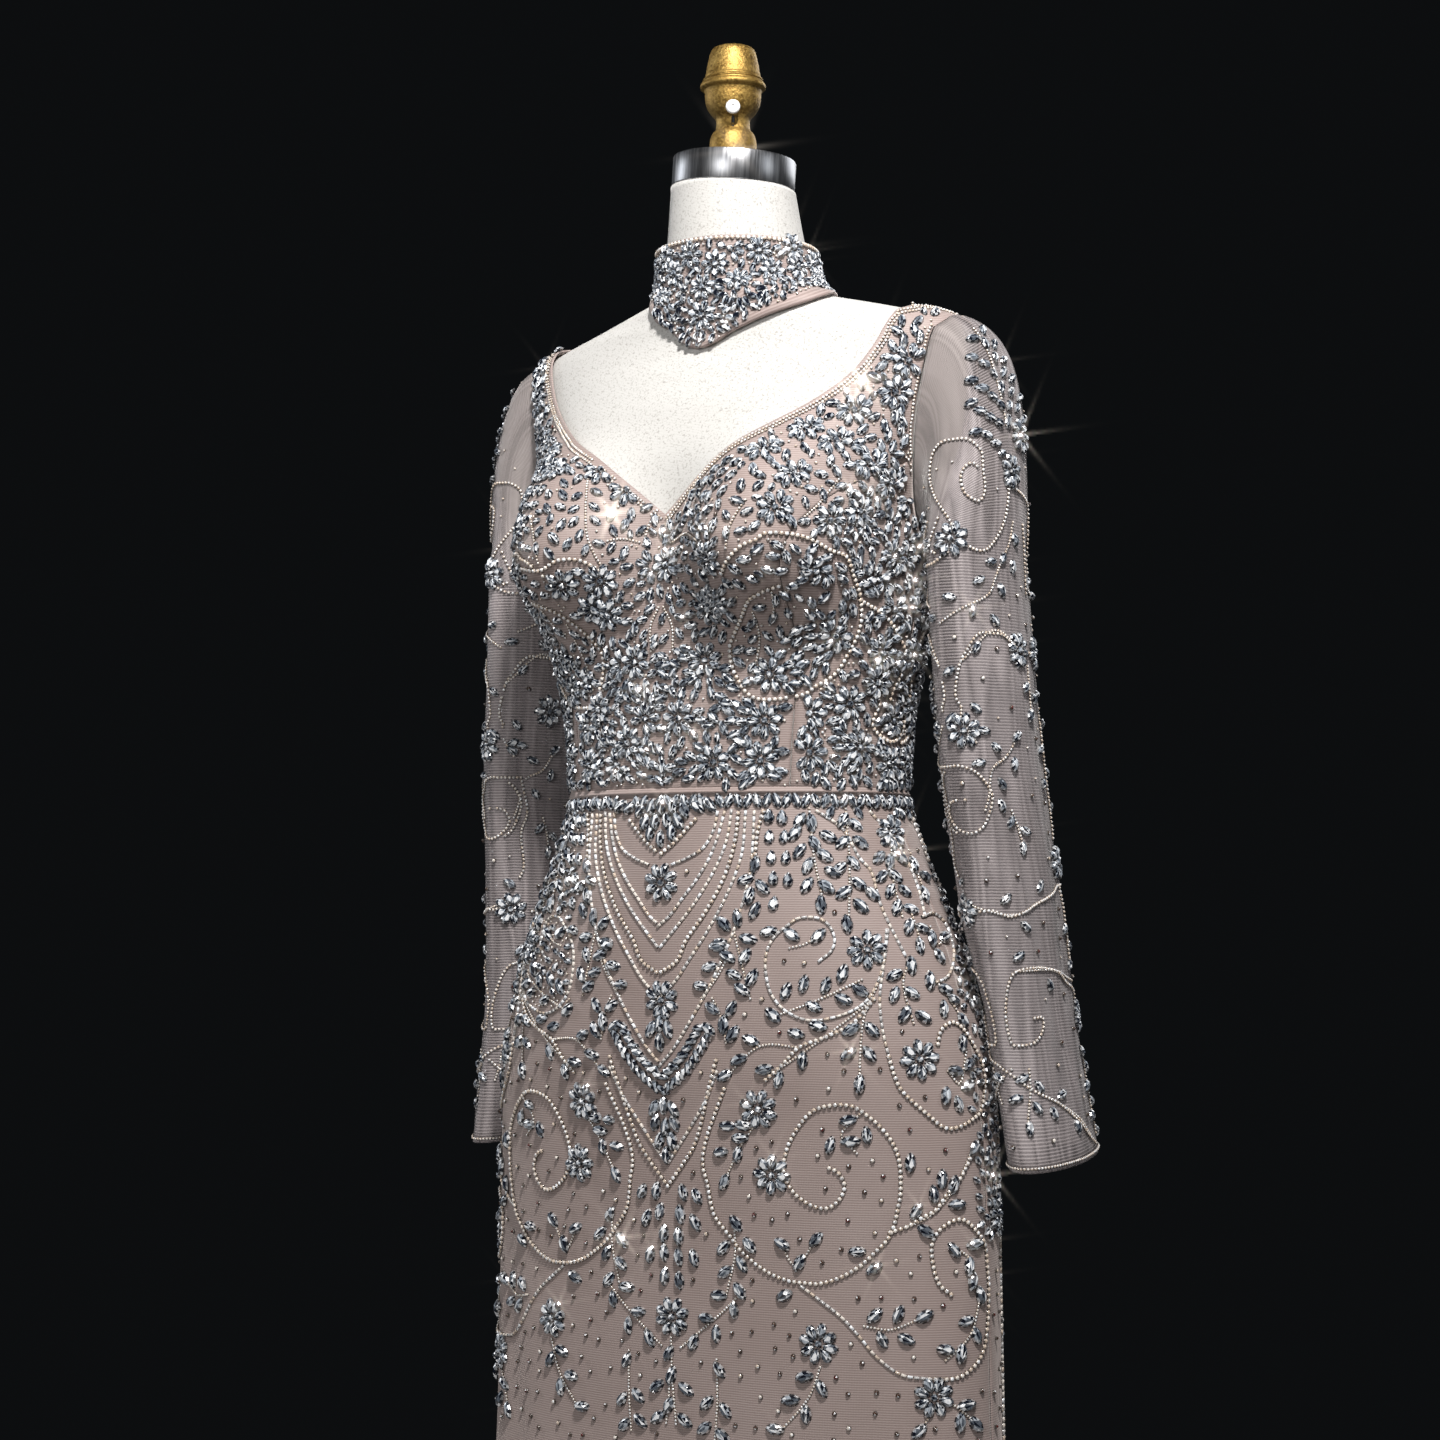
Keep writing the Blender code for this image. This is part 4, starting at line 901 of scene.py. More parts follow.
def bodice_back(word, side):
    """From the side seam to the centre-back closing, in one with its strap."""
    seam = shifted(resample(straight(math.pi / 2, SEAM_GAP / 2, UNDERARM), BACK_BELOW), SEAM_GAP / 2)
    outer = np.concatenate([seam, resample(armhole_back(), BACK_ABOVE)[1:]])
    centre = shifted(resample(straight(math.pi, SEAM_GAP / 2, BACK_NECKLINE), BACK_BELOW), -SEAM_GAP)
    inner = np.concatenate([centre, resample(neckline_back(), BACK_ABOVE)[1:]])
    places = between(end_at_shoulder(outer, True), end_at_shoulder(inner, True), BACK_COLUMNS)
    cloth_panel("cloth_bodice_back_" + word, "bodice_back_" + word, places, side)


SKIRT_LEVELS = np.concatenate([np.linspace(HEM, -0.45, 60), np.linspace(-0.445, -SEAM_GAP / 2, 78)])


def skirt_panel(word, first, last, columns, gaps, side=1):
    """A skirt panel between two angles, each edge moved by its gap."""
    edges = [shifted(np.stack([np.full(len(SKIRT_LEVELS), angle), SKIRT_LEVELS], 1), gap)
             for angle, gap in zip((first, last), gaps)]
    cloth_panel("cloth_skirt_" + word, "skirt_" + word, between(*edges, columns), side)


# Height, and how far the folded strip stands out there. Its end is in radians from the centre back.
WAIST_FOLD = [(-0.0030, 0.0004), (-0.0010, 0.0006), (-0.0005, 0.0016), (0.0001, 0.0018),
              (0.0007, 0.0010), (0.0030, 0.0004)]
WAIST_FOLD_WALL, WAIST_FOLD_END = 0.0008, 0.004


def waist_fold():
    """The folded strip that covers the waist seam, open at the centre back."""
    turns = np.linspace(-math.pi + WAIST_FOLD_END, math.pi - WAIST_FOLD_END, 241)
    height, out = np.array(WAIST_FOLD).T[..., None]
    angle, height, out = np.broadcast_arrays(turns[None, :], height, out)
    sewn("cloth_waist_fold", "waist_tape", face(angle, height, out), block_normal(angle, height),
         grid_quads(*angle.shape), body_flat(angle, height), WAIST_FOLD_WALL)


def sleeve(word, cloth):
    """A net tube, open at the armhole and the cuff."""
    points = cloth.points[:, :-1]
    across = np.roll(points, -1, 1) - np.roll(points, 1, 1)
    normals = unit(np.cross(across, np.gradient(points, axis=0)))
    flat = np.stack(np.broadcast_arrays(cloth.s[:, :-1], cloth.levels[:, None]), -1)
    quads = grid_quads(*points.shape[:2], wrap=True)
    sewn("cloth_sleeve_" + word, "sleeve_" + word, points, normals, quads, flat, NET, SHEER)


def choker():
    """The standing collar, finer towards the centre front, with its ends edge to edge at the back."""
    t = np.linspace(-1, 1, COLLAR_COLUMNS + 1)
    angle = np.copysign(np.abs(t) ** 1.25, t) * COLLAR_ENDS
    bottom = COLLAR_EDGE(np.degrees(angle))
    height = bottom + (COLLAR_TOP - bottom) * np.linspace(0, 1, COLLAR_ROWS + 1)[:, None]
    points, normals = collar_face(angle[None, :], height)
    s = np.cumsum(np.linalg.norm(np.diff(points[0], axis=0, prepend=points[0][:1]), axis=1))
    flat = np.stack(np.broadcast_arrays(s, np.linspace(0, 0.05, COLLAR_ROWS + 1)[:, None]), -1)
    sewn("cloth_choker", "choker", points, normals, grid_quads(*height.shape), flat, COLLAR_WALL - 0.0008)


# ---- dress form and stand -----------------------------------------------------------------------

FORM_COLUMNS, FORM_ROWS = 144, 170
CAP_TILT = math.radians(4.0)
CAP_RADIUS, CAP_HEIGHT = 0.0446, 0.0225


def dress_form():
    """The padded torso with its neck, smaller than the gown by the cloth and its ease."""
    heights = np.concatenate([np.linspace(FORM_BOTTOM, 0.25, FORM_ROWS // 2),
                              np.linspace(0.254, NECK_TOP, FORM_ROWS // 2)])[:, None]
    angle = np.linspace(0, 2 * math.pi, FORM_COLUMNS, endpoint=False)[None, :]
    depth = CLOTH + EASE + FORM_TAPER * (1 - smooth_step(FORM_BOTTOM, FORM_TAPER_START, heights))
    grid = block(angle, heights, FORM_BUST) - block_normal(angle, heights) * depth[..., None]
    grid[-1, :, 2] -= math.tan(CAP_TILT) * grid[-1, :, 0]
    grid[0] = grid[0] * [0.97, 0.97, 1.0]
    link("padded_form", mesh_from("padded_form", *closed_tube(grid)), [LINEN], "form_torso")


CAP_FOOT = WAIST + NECK_TOP + SEAM_GAP
FINIAL_FOOT = CAP_FOOT + SEAM_GAP + CAP_HEIGHT / math.cos(CAP_TILT)

# radius, height
FINIAL = [(0.0150, 0.0000), (0.0160, 0.0004), (0.0170, 0.0030), (0.0171, 0.0110), (0.0166, 0.0145),
          (0.0158, 0.0170), (0.0148, 0.0188), (0.0130, 0.0205), (0.0124, 0.0222), (0.0121, 0.0250),
          (0.0122, 0.0280), (0.0130, 0.0298), (0.0145, 0.0315), (0.0165, 0.0338), (0.0182, 0.0365),
          (0.0195, 0.0395), (0.0202, 0.0430), (0.0204, 0.0460), (0.0206, 0.0490), (0.0212, 0.0503),
          (0.0226, 0.0510), (0.0236, 0.0520), (0.0239, 0.0532), (0.0236, 0.0545), (0.0226, 0.0557),
          (0.0219, 0.0560), (0.0218, 0.0568), (0.0222, 0.0574), (0.0218, 0.0584), (0.0208, 0.0592),
          (0.0203, 0.0594), (0.0201, 0.0602), (0.0203, 0.0608), (0.0199, 0.0618), (0.0194, 0.0640),
          (0.0187, 0.0690), (0.0176, 0.0740), (0.0167, 0.0775), (0.0158, 0.0797), (0.0145, 0.0812),
          (0.0120, 0.0822), (0.0060, 0.0826)]
# The screw's seat is its distance from the finial's axis; heights are above the finial's foot.
SCREW_FACING, SCREW_RADIUS, SCREW_SEAT, SCREW_HEIGHT = math.radians(33.0), 0.0052, 0.0191, 0.0335
SLOT_HALF_WIDTH, SLOT_HALF_HEIGHT, SLOT_HEIGHT, SLOT_SIDES = 0.0011, 0.0040, 0.0252, 32
POLE_RADIUS, SLEEVE_RADIUS, FLANGE_RADIUS, POLE_FOOT = 0.0160, 0.0172, 0.0400, 0.0303


def neck_cap():
    """The steel cap, tilted with the top of the neck."""
    outline = [(-0.0010, 0.0), (-0.0003, 0.0004), (0.0, 0.0010), (0.0, CAP_HEIGHT - 0.0016),
               (-0.0005, CAP_HEIGHT - 0.0006), (-0.0016, CAP_HEIGHT - 0.0002),
               (-0.0030, CAP_HEIGHT - 0.0008), (0.0180 - CAP_RADIUS, CAP_HEIGHT - 0.0008)]
    tilted = Matrix.Translation((0.0, NECK_LEAN, CAP_FOOT)) @ Matrix.Rotation(CAP_TILT, 4, "Y")
    lathe("neck_cap_steel", "neck_cap", [(CAP_RADIUS + r, z) for r, z in outline], 128, STEEL, tilted)


def finial():
    """The turned finial, with the screw in its side and a black patch painted as the shade in a slot under
    that.
    """
    profile = [(r, z + FINIAL_FOOT) for r, z in FINIAL]
    lathe("finial_gold", "finial", profile, 96, GOLD, Matrix.Translation((0.0, NECK_LEAN, 0.0)))
    sine, cosine = math.sin(SCREW_FACING), math.cos(SCREW_FACING)
    head = [(0.96, 0.0), (1.0, 0.0005), (1.0, 0.0019), (0.94, 0.0026), (0.78, 0.0031), (0.50, 0.0034),
            (0.30, 0.0034), (0.26, 0.0026)]
    seat = (sine * SCREW_SEAT, NECK_LEAN - cosine * SCREW_SEAT, FINIAL_FOOT + SCREW_HEIGHT)
    facing = Matrix.Rotation(SCREW_FACING, 4, "Z") @ Matrix.Rotation(math.pi / 2, 4, "X")
    lathe("finial_screw_head", "finial_screw", [(SCREW_RADIUS * r, z) for r, z in head], 40, WHITE_SCREW,
          Matrix.Translation(seat) @ facing)
    # The slot is a thin black patch on the finial, painted as the shade inside a slot.
    turn = np.linspace(0, 2 * math.pi, SLOT_SIDES, endpoint=False)
    x = SLOT_HALF_WIDTH * np.sin(turn)
    z = SLOT_HALF_HEIGHT * np.copysign(np.abs(np.cos(turn)) ** 0.35, np.cos(turn))
    rings = []
    for shrink, radius in ((1.0, 0.0128), (0.6, 0.0122)):
        angle = x * shrink / 0.0125 + SCREW_FACING
        rings.append(np.stack([np.sin(angle) * radius, NECK_LEAN - np.cos(angle) * radius,
                               FINIAL_FOOT + SLOT_HEIGHT + z * shrink], 1))
    faces = [grid_quads(2, SLOT_SIDES, wrap=True), np.arange(SLOT_SIDES, 2 * SLOT_SIDES)[None, :]]
    slot = link("finial_slot_shade", mesh_from("finial_slot_shade", np.concatenate(rings), faces), [BLACK_IRON])


def stand():
    """The pole with its sleeve and flange, and the round base with its raised collar."""
    top = WAIST + FORM_BOTTOM - SEAM_GAP
    pole = [(POLE_RADIUS, POLE_FOOT), (POLE_RADIUS, 0.300), (SLEEVE_RADIUS, 0.3005), (SLEEVE_RADIUS, 0.342),
            (SLEEVE_RADIUS - 0.0008, 0.3435), (POLE_RADIUS, 0.3440), (POLE_RADIUS, top - 0.020),
            (0.0300, top - 0.0108), (0.0392, top - 0.0080), (FLANGE_RADIUS, top - 0.0072),
            (FLANGE_RADIUS, top)]
    lathe("stand_pole_tube", "stand_pole", pole, 64, STEEL)
    base = [(0.1560, 0.0), (0.1592, 0.0008), (0.1600, 0.0022), (0.1600, 0.0078), (0.1588, 0.0102),
            (0.1560, 0.0118), (0.1500, 0.0123), (0.0520, 0.0140), (0.0440, 0.0146), (0.0360, 0.0190),
            (0.0310, 0.0250), (0.0300, 0.0290), (0.0292, 0.0300)]
    lathe("stand_base_iron", "stand_base", base, 120, BLACK_IRON)


BUTTON_COUNT, BUTTON_PITCH, BUTTON_TOP = 12, 0.029, 0.190
BUTTON_RADIUS, BUTTON_SEAT = 0.0050, 0.0007


def buttons():
    """Covered buttons down the centre back."""
    dome = [(0.80, 0.0), (0.92, 0.0003), (1.0, 0.0010), (0.99, 0.0016), (0.90, 0.0024), (0.72, 0.0030),
            (0.45, 0.0033), (0.12, 0.0034)]
    profile = [(BUTTON_RADIUS * r, z) for r, z in dome]
    for k in range(BUTTON_COUNT):
        level = np.array(BUTTON_TOP - k * BUTTON_PITCH)
        out = block_normal(math.pi, level)
        across = np.array([-1.0, 0.0, 0.0])
        place = axes_at(block(math.pi, level) + out * BUTTON_SEAT, across, np.cross(out, across), out)
        lathe("covered_button_%02d" % (k + 1), "button_%02d" % (k + 1), profile, 28, SATIN, place)


LOOP_CORD, LOOP_TURN, LOOP_SIDES = 0.00032, 0.0024, 6
LOOP_LEGS = [(-0.0092, 0.0020), (-0.0060, 0.0027), (-0.0030, 0.0025)]  # across and up from the button


def button_loops():
    """Rouleau loops, each from the closing's edge round the shank of its button and back."""
    bend = np.linspace(math.pi / 2, -math.pi / 2, 12)
    legs = np.array(LOOP_LEGS)
    turned = LOOP_TURN * np.stack([np.cos(bend), np.sin(bend)], 1)
    across, upward = np.concatenate([legs, turned, legs[::-1] * [1, -1]]).T
    height = BUTTON_TOP - BUTTON_PITCH * np.arange(BUTTON_COUNT)[:, None] + upward
    angle = math.pi + across / HALF_WIDTH(height)
    normal = block_normal(angle, height)
    line = block(angle, height) + normal * (LOOP_CORD + 0.00002)
    beside = np.cross(unit(np.gradient(line, axis=1)), normal)
    turn = np.linspace(0, 2 * math.pi, LOOP_SIDES, endpoint=False)[:, None]
    around = np.cos(turn) * normal[:, :, None] + np.sin(turn) * beside[:, :, None]
    rings = line[:, :, None] + LOOP_CORD * around
    quads = grid_quads(line.shape[1], LOOP_SIDES, wrap=True)
    each = line.shape[1] * LOOP_SIDES
    quads = np.concatenate([quads + k * each for k in range(BUTTON_COUNT)])
    made = link("button_loops", mesh_from("button_loops", rings.reshape(-1, 3), quads), [SATIN])


# ---- stones and beads ---------------------------------------------------------------------------

Template = namedtuple("Template", "points faces slots smooth")

SETTING, PAINTED_SHADE, WHITE_GLINT, ICE_REFLECTION, SLATE_REFLECTION, NIGHT_REFLECTION, PEARL, CHAMPAGNE, SILVER, BRONZE, GARNET, RIM_SHADE = range(12)
BEAD_MATERIALS = [
    paint_grained("claw_silver", (0.50, 0.51, 0.53), (0.86, 0.87, 0.89), 0.18, 0.32, 900.0, Metallic=0.7),
    # Painted shade: the dark between a stone's claws and at a bugle's ends.
    paint_grained("painted_claw_and_end_shade", (0.008, 0.009, 0.012), (0.035, 0.038, 0.046), 0.30, 0.50, 900.0,
                  Metallic=0.3),
    # Facet colours are painted reflections over the stones' faint blue-grey tint: a white glint, and ice,
    # slate and night tones for what foiled facets reflect.
    paint_grained("facet_painted_glint", (0.72, 0.76, 0.82), (0.98, 0.99, 1.00), 0.05, 0.12, 700.0, IOR=1.9),
    paint_grained("facet_painted_ice_reflection", (0.27, 0.31, 0.36), (0.44, 0.48, 0.535), 0.05, 0.12, 700.0, IOR=1.9),
    paint_grained("facet_painted_slate_reflection", (0.060, 0.073, 0.094), (0.125, 0.145, 0.175), 0.05, 0.12, 700.0, IOR=1.9),
    paint_grained("facet_painted_night_reflection", (0.003, 0.004, 0.008), (0.012, 0.016, 0.028), 0.05, 0.12, 700.0, IOR=1.9),
    paint_grained("bead_pearl", (0.62, 0.57, 0.52), (0.88, 0.82, 0.76), 0.10, 0.24, 800.0, IOR=1.7),
    paint_grained("bead_champagne", (0.46, 0.37, 0.30), (0.70, 0.59, 0.49), 0.10, 0.24, 800.0, IOR=1.7),
    paint_grained("bead_silver", (0.44, 0.43, 0.43), (0.78, 0.77, 0.77), 0.08, 0.20, 800.0, Metallic=0.2),
    paint_grained("bead_bronze", (0.030, 0.016, 0.012), (0.10, 0.050, 0.034), 0.06, 0.14, 800.0, IOR=1.8),
    paint_grained("bead_garnet", (0.050, 0.006, 0.006), (0.13, 0.020, 0.016), 0.06, 0.14, 800.0, IOR=1.8),
    # Painted shade for the sides of beads.
    paint_grained("bead_rim_painted_shade", (0.040, 0.034, 0.030), (0.13, 0.110, 0.095), 0.14, 0.30, 800.0, Metallic=0.2),
]
# Painted reflection tones for the crown facets, and how often each is drawn.
FACET_REFLECTIONS, REFLECTION_SHARES = [WHITE_GLINT, ICE_REFLECTION, SLATE_REFLECTION, NIGHT_REFLECTION], [0.17, 0.23, 0.27, 0.33]
VARIANTS = 8  # copies of each faceted stone, their painted reflections on different facets
STONE_LIFT, STONE_TILT = 0.0003, 0.11  # above the cloth, and the usual lean in radians


def stone_outline(length, width, count, point, blunt=0.0):
    """A closed outline along x, more pointed as point grows; blunt rounds and widens its foot."""
    turn = np.linspace(0, 2 * math.pi, count, endpoint=False)
    x, y = np.cos(turn), np.sin(turn)
    sharp = 0.26 * point * np.where(x > 0, 1, 1 - blunt)
    across = np.copysign(np.abs(y) ** (1 + sharp), y) * (1 - 0.28 * blunt * x)
    return np.stack([x * length / 2, across * width / 2], 1)


def faceted(outline, height, rng):
    """A stone in its setting: claws with painted shade between them, and crown and table facets in painted
    reflection tones.
    """
    count = len(outline)
    foot = np.hstack([outline, np.full((count, 1), 0.10 * height)])
    girdle = np.hstack([outline * 0.84, np.full((count, 1), 0.56 * height)])
    table = np.hstack([outline[::2] * 0.50, np.full((count // 2, 1), height)])
    faces, slots = [], []
    for k in range(count):
        n = (k + 1) % count
        faces += [(k, n, count + n), (k, count + n, count + k)]
        # Silver claws alternate with painted shade between them.
        slots += [SETTING if k % 2 else PAINTED_SHADE] * 2
    # Crown and table facets take painted reflection tones at random.
    top = 2 * count
    for k in range(count // 2):
        a, b, c = count + 2 * k, count + 2 * k + 1, count + (2 * k + 2) % count
        m, n = top + k, top + (k + 1) % (count // 2)
        faces += [(a, b, m), (b, n, m), (b, c, n)]
        slots += list(rng.choice(FACET_REFLECTIONS, 3, p=REFLECTION_SHARES))
    for k in range(1, count // 2 - 1):
        faces.append((top, top + k, top + k + 1))
        slots.append(rng.choice(FACET_REFLECTIONS, p=[0.32, 0.32, 0.22, 0.14]))
    return Template(np.concatenate([foot, girdle, table]), np.array(faces), np.array(slots), False)


def bead(radius, height, sides, slot, side=RIM_SHADE):
    """A round glass bead, flat where it sits on the cloth, with painted shade on its sides and one facet
    painted as a glint.
    """
    rings = [ring_at(radius * reach, height * level, sides) for reach, level in ((1.0, 0.20), (0.78, 0.66))]
    faces = []
    for k in range(sides):
        n = (k + 1) % sides
        faces += [(k, n, n + sides), (k, n + sides, k + sides), (k + sides, n + sides, 2 * sides)]
    # Each side quad is half painted rim shade and half the side colour as painted shade; the top has the
    # bead's colour, and one top facet is a painted glint.
    slots = np.tile([RIM_SHADE, side, slot], sides)
    slots[5] = WHITE_GLINT
    return Template(np.concatenate([*rings, [(0, 0, height)]]), np.array(faces), slots, True)


def bugle(length, radius, slot):
    """A short glass tube lying along x, its ends painted dark as shade."""
    turn = np.linspace(-0.15 * math.pi, 1.15 * math.pi, 5)
    ring = np.stack([np.cos(turn) * radius, (np.sin(turn) + 0.75) * radius], 1)
    points = [(x, y, z) for x in (-length / 2, length / 2) for y, z in ring]
    faces = []
    for k in range(4):
        faces += [(k + 1, k, k + 6), (k + 6, k, k + 5)]
    faces += [(0, 1, 3), (1, 2, 3), (0, 3, 4), (5, 8, 6), (6, 8, 7), (5, 9, 8)]
    # The six end faces are painted shade.
    return Template(np.array(points), np.array(faces), np.array([slot] * 8 + [PAINTED_SHADE] * 6), True)


def make_templates():
    """Each kind of stone or bead as a list of variants to draw from."""
    rng = np.random.default_rng(41)
    shapes = {
        "marquise": (stone_outline(14.2 * MM, 8.2 * MM, 12, 1.0), 3.6 * MM),
        "petal": (stone_outline(11.4 * MM, 7.2 * MM, 12, 1.0, 0.8), 3.3 * MM),
        "small": (stone_outline(9.0 * MM, 5.4 * MM, 8, 0.9), 2.7 * MM),
        "teardrop": (stone_outline(11.0 * MM, 7.6 * MM, 12, 1.2, 1.0), 3.3 * MM),
        "round": (stone_outline(5.4 * MM, 5.4 * MM, 8, 0.0), 3.3 * MM),
    }
    made = {kind: [faceted(*shape, rng) for _ in range(VARIANTS)] for kind, shape in shapes.items()}
    # Tops in the white glint colour are painted highlights.
    pale = [PEARL, CHAMPAGNE, SILVER, PEARL, SILVER, CHAMPAGNE, PEARL, WHITE_GLINT]
    clear = [PEARL, SILVER, CHAMPAGNE, WHITE_GLINT, PEARL, SILVER]
    dark = [BRONZE, BRONZE, GARNET, PEARL, BRONZE, CHAMPAGNE]
    made["pearl"] = [bead(1.85 * MM, 2.6 * MM, 6, slot, CHAMPAGNE) for slot in pale]
    made["seed"] = [bead(1.15 * MM, 1.7 * MM, 5, slot, CHAMPAGNE) for slot in pale]
    made["bugle"] = [bugle(3.6 * MM, 1.05 * MM, slot) for slot in clear]
    made["bronze"] = [bead(1.85 * MM, 2.7 * MM, 6, slot) for slot in dark]
    return made


TEMPLATES = make_templates()
# How near another stone may come to each kind, in mm, and how far its middle stays from an edge.
ROOM = {"marquise": 4.4, "petal": 4.1, "small": 3.1, "teardrop": 4.3, "round": 2.6, "pearl": 1.7,
        "seed": 1.0, "bugle": 1.4, "bronze": 1.6}
EDGE = {"marquise": 4.4, "petal": 4.3, "small": 3.0, "teardrop": 4.4, "round": 2.6, "pearl": 1.6,
        "seed": 1.1, "bugle": 1.4, "bronze": 1.6}
PITCH = {"pearl": 3.75, "seed": 2.3, "bugle": 4.2}  # of the beads along a line, in mm
PETALS, PETAL_REACH = 8, 8.6  # of a flower, the reach in mm from its middle to a petal's


def smooth_path(points):
    """A smooth line through points, in steps of a sixteenth of each span."""
    points = np.asarray(points, float)
    ends = np.concatenate([[2 * points[0] - points[1]], points, [2 * points[-1] - points[-2]]])
    t = np.linspace(0, 1, 16, endpoint=False)[:, None]
    spans = [0.5 * (2 * b + (c - a) * t + (2 * a - 5 * b + 4 * c - d) * t**2
                    + (3 * b - a - 3 * c + d) * t**3)
             for a, b, c, d in zip(ends, ends[1:], ends[2:], ends[3:])]
    return np.concatenate(spans + [points[-1:]])


class Beading:
    """Stones and beads on one cloth, kept as rows of kind, s, t, turn and size until they are made."""

    def __init__(self, cloth, seed):
        self.cloth, self.rng, self.rows, self.leaf_size = cloth, np.random.default_rng(seed), [], 1.0

    def put(self, kind, s, t, turn, size=1.0):
        self.rows.append((kind, float(s), float(t), float(turn), float(size)))

    def leaf(self, s, t, degrees, kind="marquise"):
        turn = math.radians(degrees + self.rng.normal(0, 6))
        self.put(kind, s, t, turn, self.rng.uniform(0.94, 1.05) * self.leaf_size)

    def flower(self, s, t, size=1.0):
        """A round stone with petals about it that point inwards."""
        start = self.rng.uniform(0, 2 * math.pi / PETALS)
        reach = PETAL_REACH * size
        rise = float(self.cloth.per_length(np.array([s * MM]), np.array([t * MM]))[0])
        for k in range(PETALS):
            turn = start + 2 * math.pi * k / PETALS + self.rng.normal(0, 0.04)
            across, upward = reach * math.cos(turn), reach * math.sin(turn) * rise
            self.put("petal", s + across, t + upward, turn + math.pi, size)
        self.put("round", s, t, start)

    def line(self, kind, points, pitch, size=1.0):
        """Beads at an even pitch along a smooth line, each turned along it."""
        fine = smooth_path(points)
        point, across, up, _ = self.cloth.frames(fine[:, 0] * MM, fine[:, 1] * MM)
        steps = np.linalg.norm(np.diff(point, axis=0), axis=1) / MM
        lengths = np.concatenate([[0], np.cumsum(steps)])
        wanted = np.linspace(0, lengths[-1], max(int(round(lengths[-1] / pitch)), 1) + 1)
        ahead = np.gradient(point, axis=0)
        turns = np.unwrap(np.arctan2((ahead * up).sum(1), (ahead * across).sum(1)))
        for s, t, turn in zip(*(np.interp(wanted, lengths, row) for row in (*fine.T, turns))):
            self.put(kind, s, t, turn, size)

    def lines(self, kind, lines):
        for points in lines:
            self.line(kind, points, PITCH[kind])

    def sprig(self, stem, leaves):
        """Leaves that lean away from their stem and towards its tip."""
        path = smooth_path(stem)
        ahead = unit(np.gradient(path, axis=0))
        self.lines("seed", [stem])
        for s, t in leaves:
            away = np.array([s, t]) - path
            reach = np.hypot(*away.T)
            near = int(np.argmin(reach))
            lean = away[near] / max(reach[near], 4.0) + 0.9 * ahead[near]
            self.leaf(s, t, math.degrees(math.atan2(lean[1], lean[0])))

    def cluster(self, centre, leaves, kind="marquise"):
        """Leaves that all point away from one place."""
        for s, t in leaves:
            self.leaf(s, t, math.degrees(math.atan2(t - centre[1], s - centre[0])), kind)

    def merge(self, rows, clear):
        """Adds rows wherever nothing is in their way yet."""
        place = np.array([(s, t) for _, s, t, _, _ in self.rows])
        room = np.array([ROOM[row[0]] for row in self.rows])
        kept = [row for row in rows
                if not (np.hypot(*(place - row[1:3]).T) < clear * (room + ROOM[row[0]])).any()]
        self.rows += kept

    def mirrored(self, axis=None):
        """The rows on the other side of s = 0, or moved to the back where axis gives the half girth."""
        rows = []
        for kind, s, t, turn, size in self.rows:
            other = -s if axis is None else math.copysign(axis(t), s) - s
            rows.append((kind, other, t, math.pi - turn, size))
        return rows

    def fill(self, kind, inside, room, tries, low, high, size=1.0):
        """Scatters stones between two corners wherever there is room, turned from the nearest flower."""
        start = len(self.rows)
        place = np.empty((start + tries, 2))
        clear = np.empty(start + tries)
        for k, row in enumerate(self.rows):
            place[k], clear[k] = row[1:3], ROOM[row[0]]
        flowers = np.array([row[1:3] for row in self.rows if row[0] == "round"] or [(0.0, 0.0)])
        spots = np.array(low, float) + (np.array(high, float) - low) * self.rng.random((tries, 2))
        spots = spots[inside(spots[:, 0], spots[:, 1], EDGE[kind])]
        needs = room(spots[:, 0], spots[:, 1]) if callable(room) else np.full(len(spots), float(room))
        count = start
        for (s, t), need in zip(spots, needs):
            if (np.hypot(place[:count, 0] - s, place[:count, 1] - t) < clear[:count] + need).any():
                continue
            place[count], clear[count] = (s, t), need
            count += 1
            away = np.array([s, t]) - flowers
            nearest = away[np.argmin(np.hypot(*away.T))]
            turn = math.atan2(nearest[1], nearest[0]) + self.rng.normal(0, 0.4)
            self.put(kind, s, t, turn, self.rng.uniform(0.92, 1.05) * size)

    def trim(self, inside):
        """Drops what would hang over an edge."""
        for kind in sorted({row[0] for row in self.rows}):
            own = [row for row in self.rows if row[0] == kind]
            s, t = np.array([row[1:3] for row in own]).T
            good = inside(s, t, 0.8 * EDGE[kind])
            self.rows = [row for row in self.rows if row[0] != kind] + [r for r, g in zip(own, good) if g]


def set_on(cloth, rows, variants, rng):
    """Corners of every bead of one kind, with its template; stones lean a little, each its own way."""
    pick = rng.integers(0, len(variants), len(rows))
    point, across, up, out = cloth.frames(rows[:, 0] * MM, rows[:, 1] * MM)
    x = across * np.cos(rows[:, 2])[:, None] + up * np.sin(rows[:, 2])[:, None]
    if not variants[0].smooth:
        lean = rng.normal(0, STONE_TILT, (2, len(rows), 1))
        out = unit(out + across * lean[0] + up * lean[1])
        x = unit(x - out * (x * out).sum(1, keepdims=True))
        point = point + out * STONE_LIFT
    axes = np.stack([x, np.cross(out, x), out], 1)
    for k, template in enumerate(variants):
        mine = pick == k
        local = template.points[None] * rows[mine, 3][:, None, None]
        yield point[mine][:, None] + local @ axes[mine], template


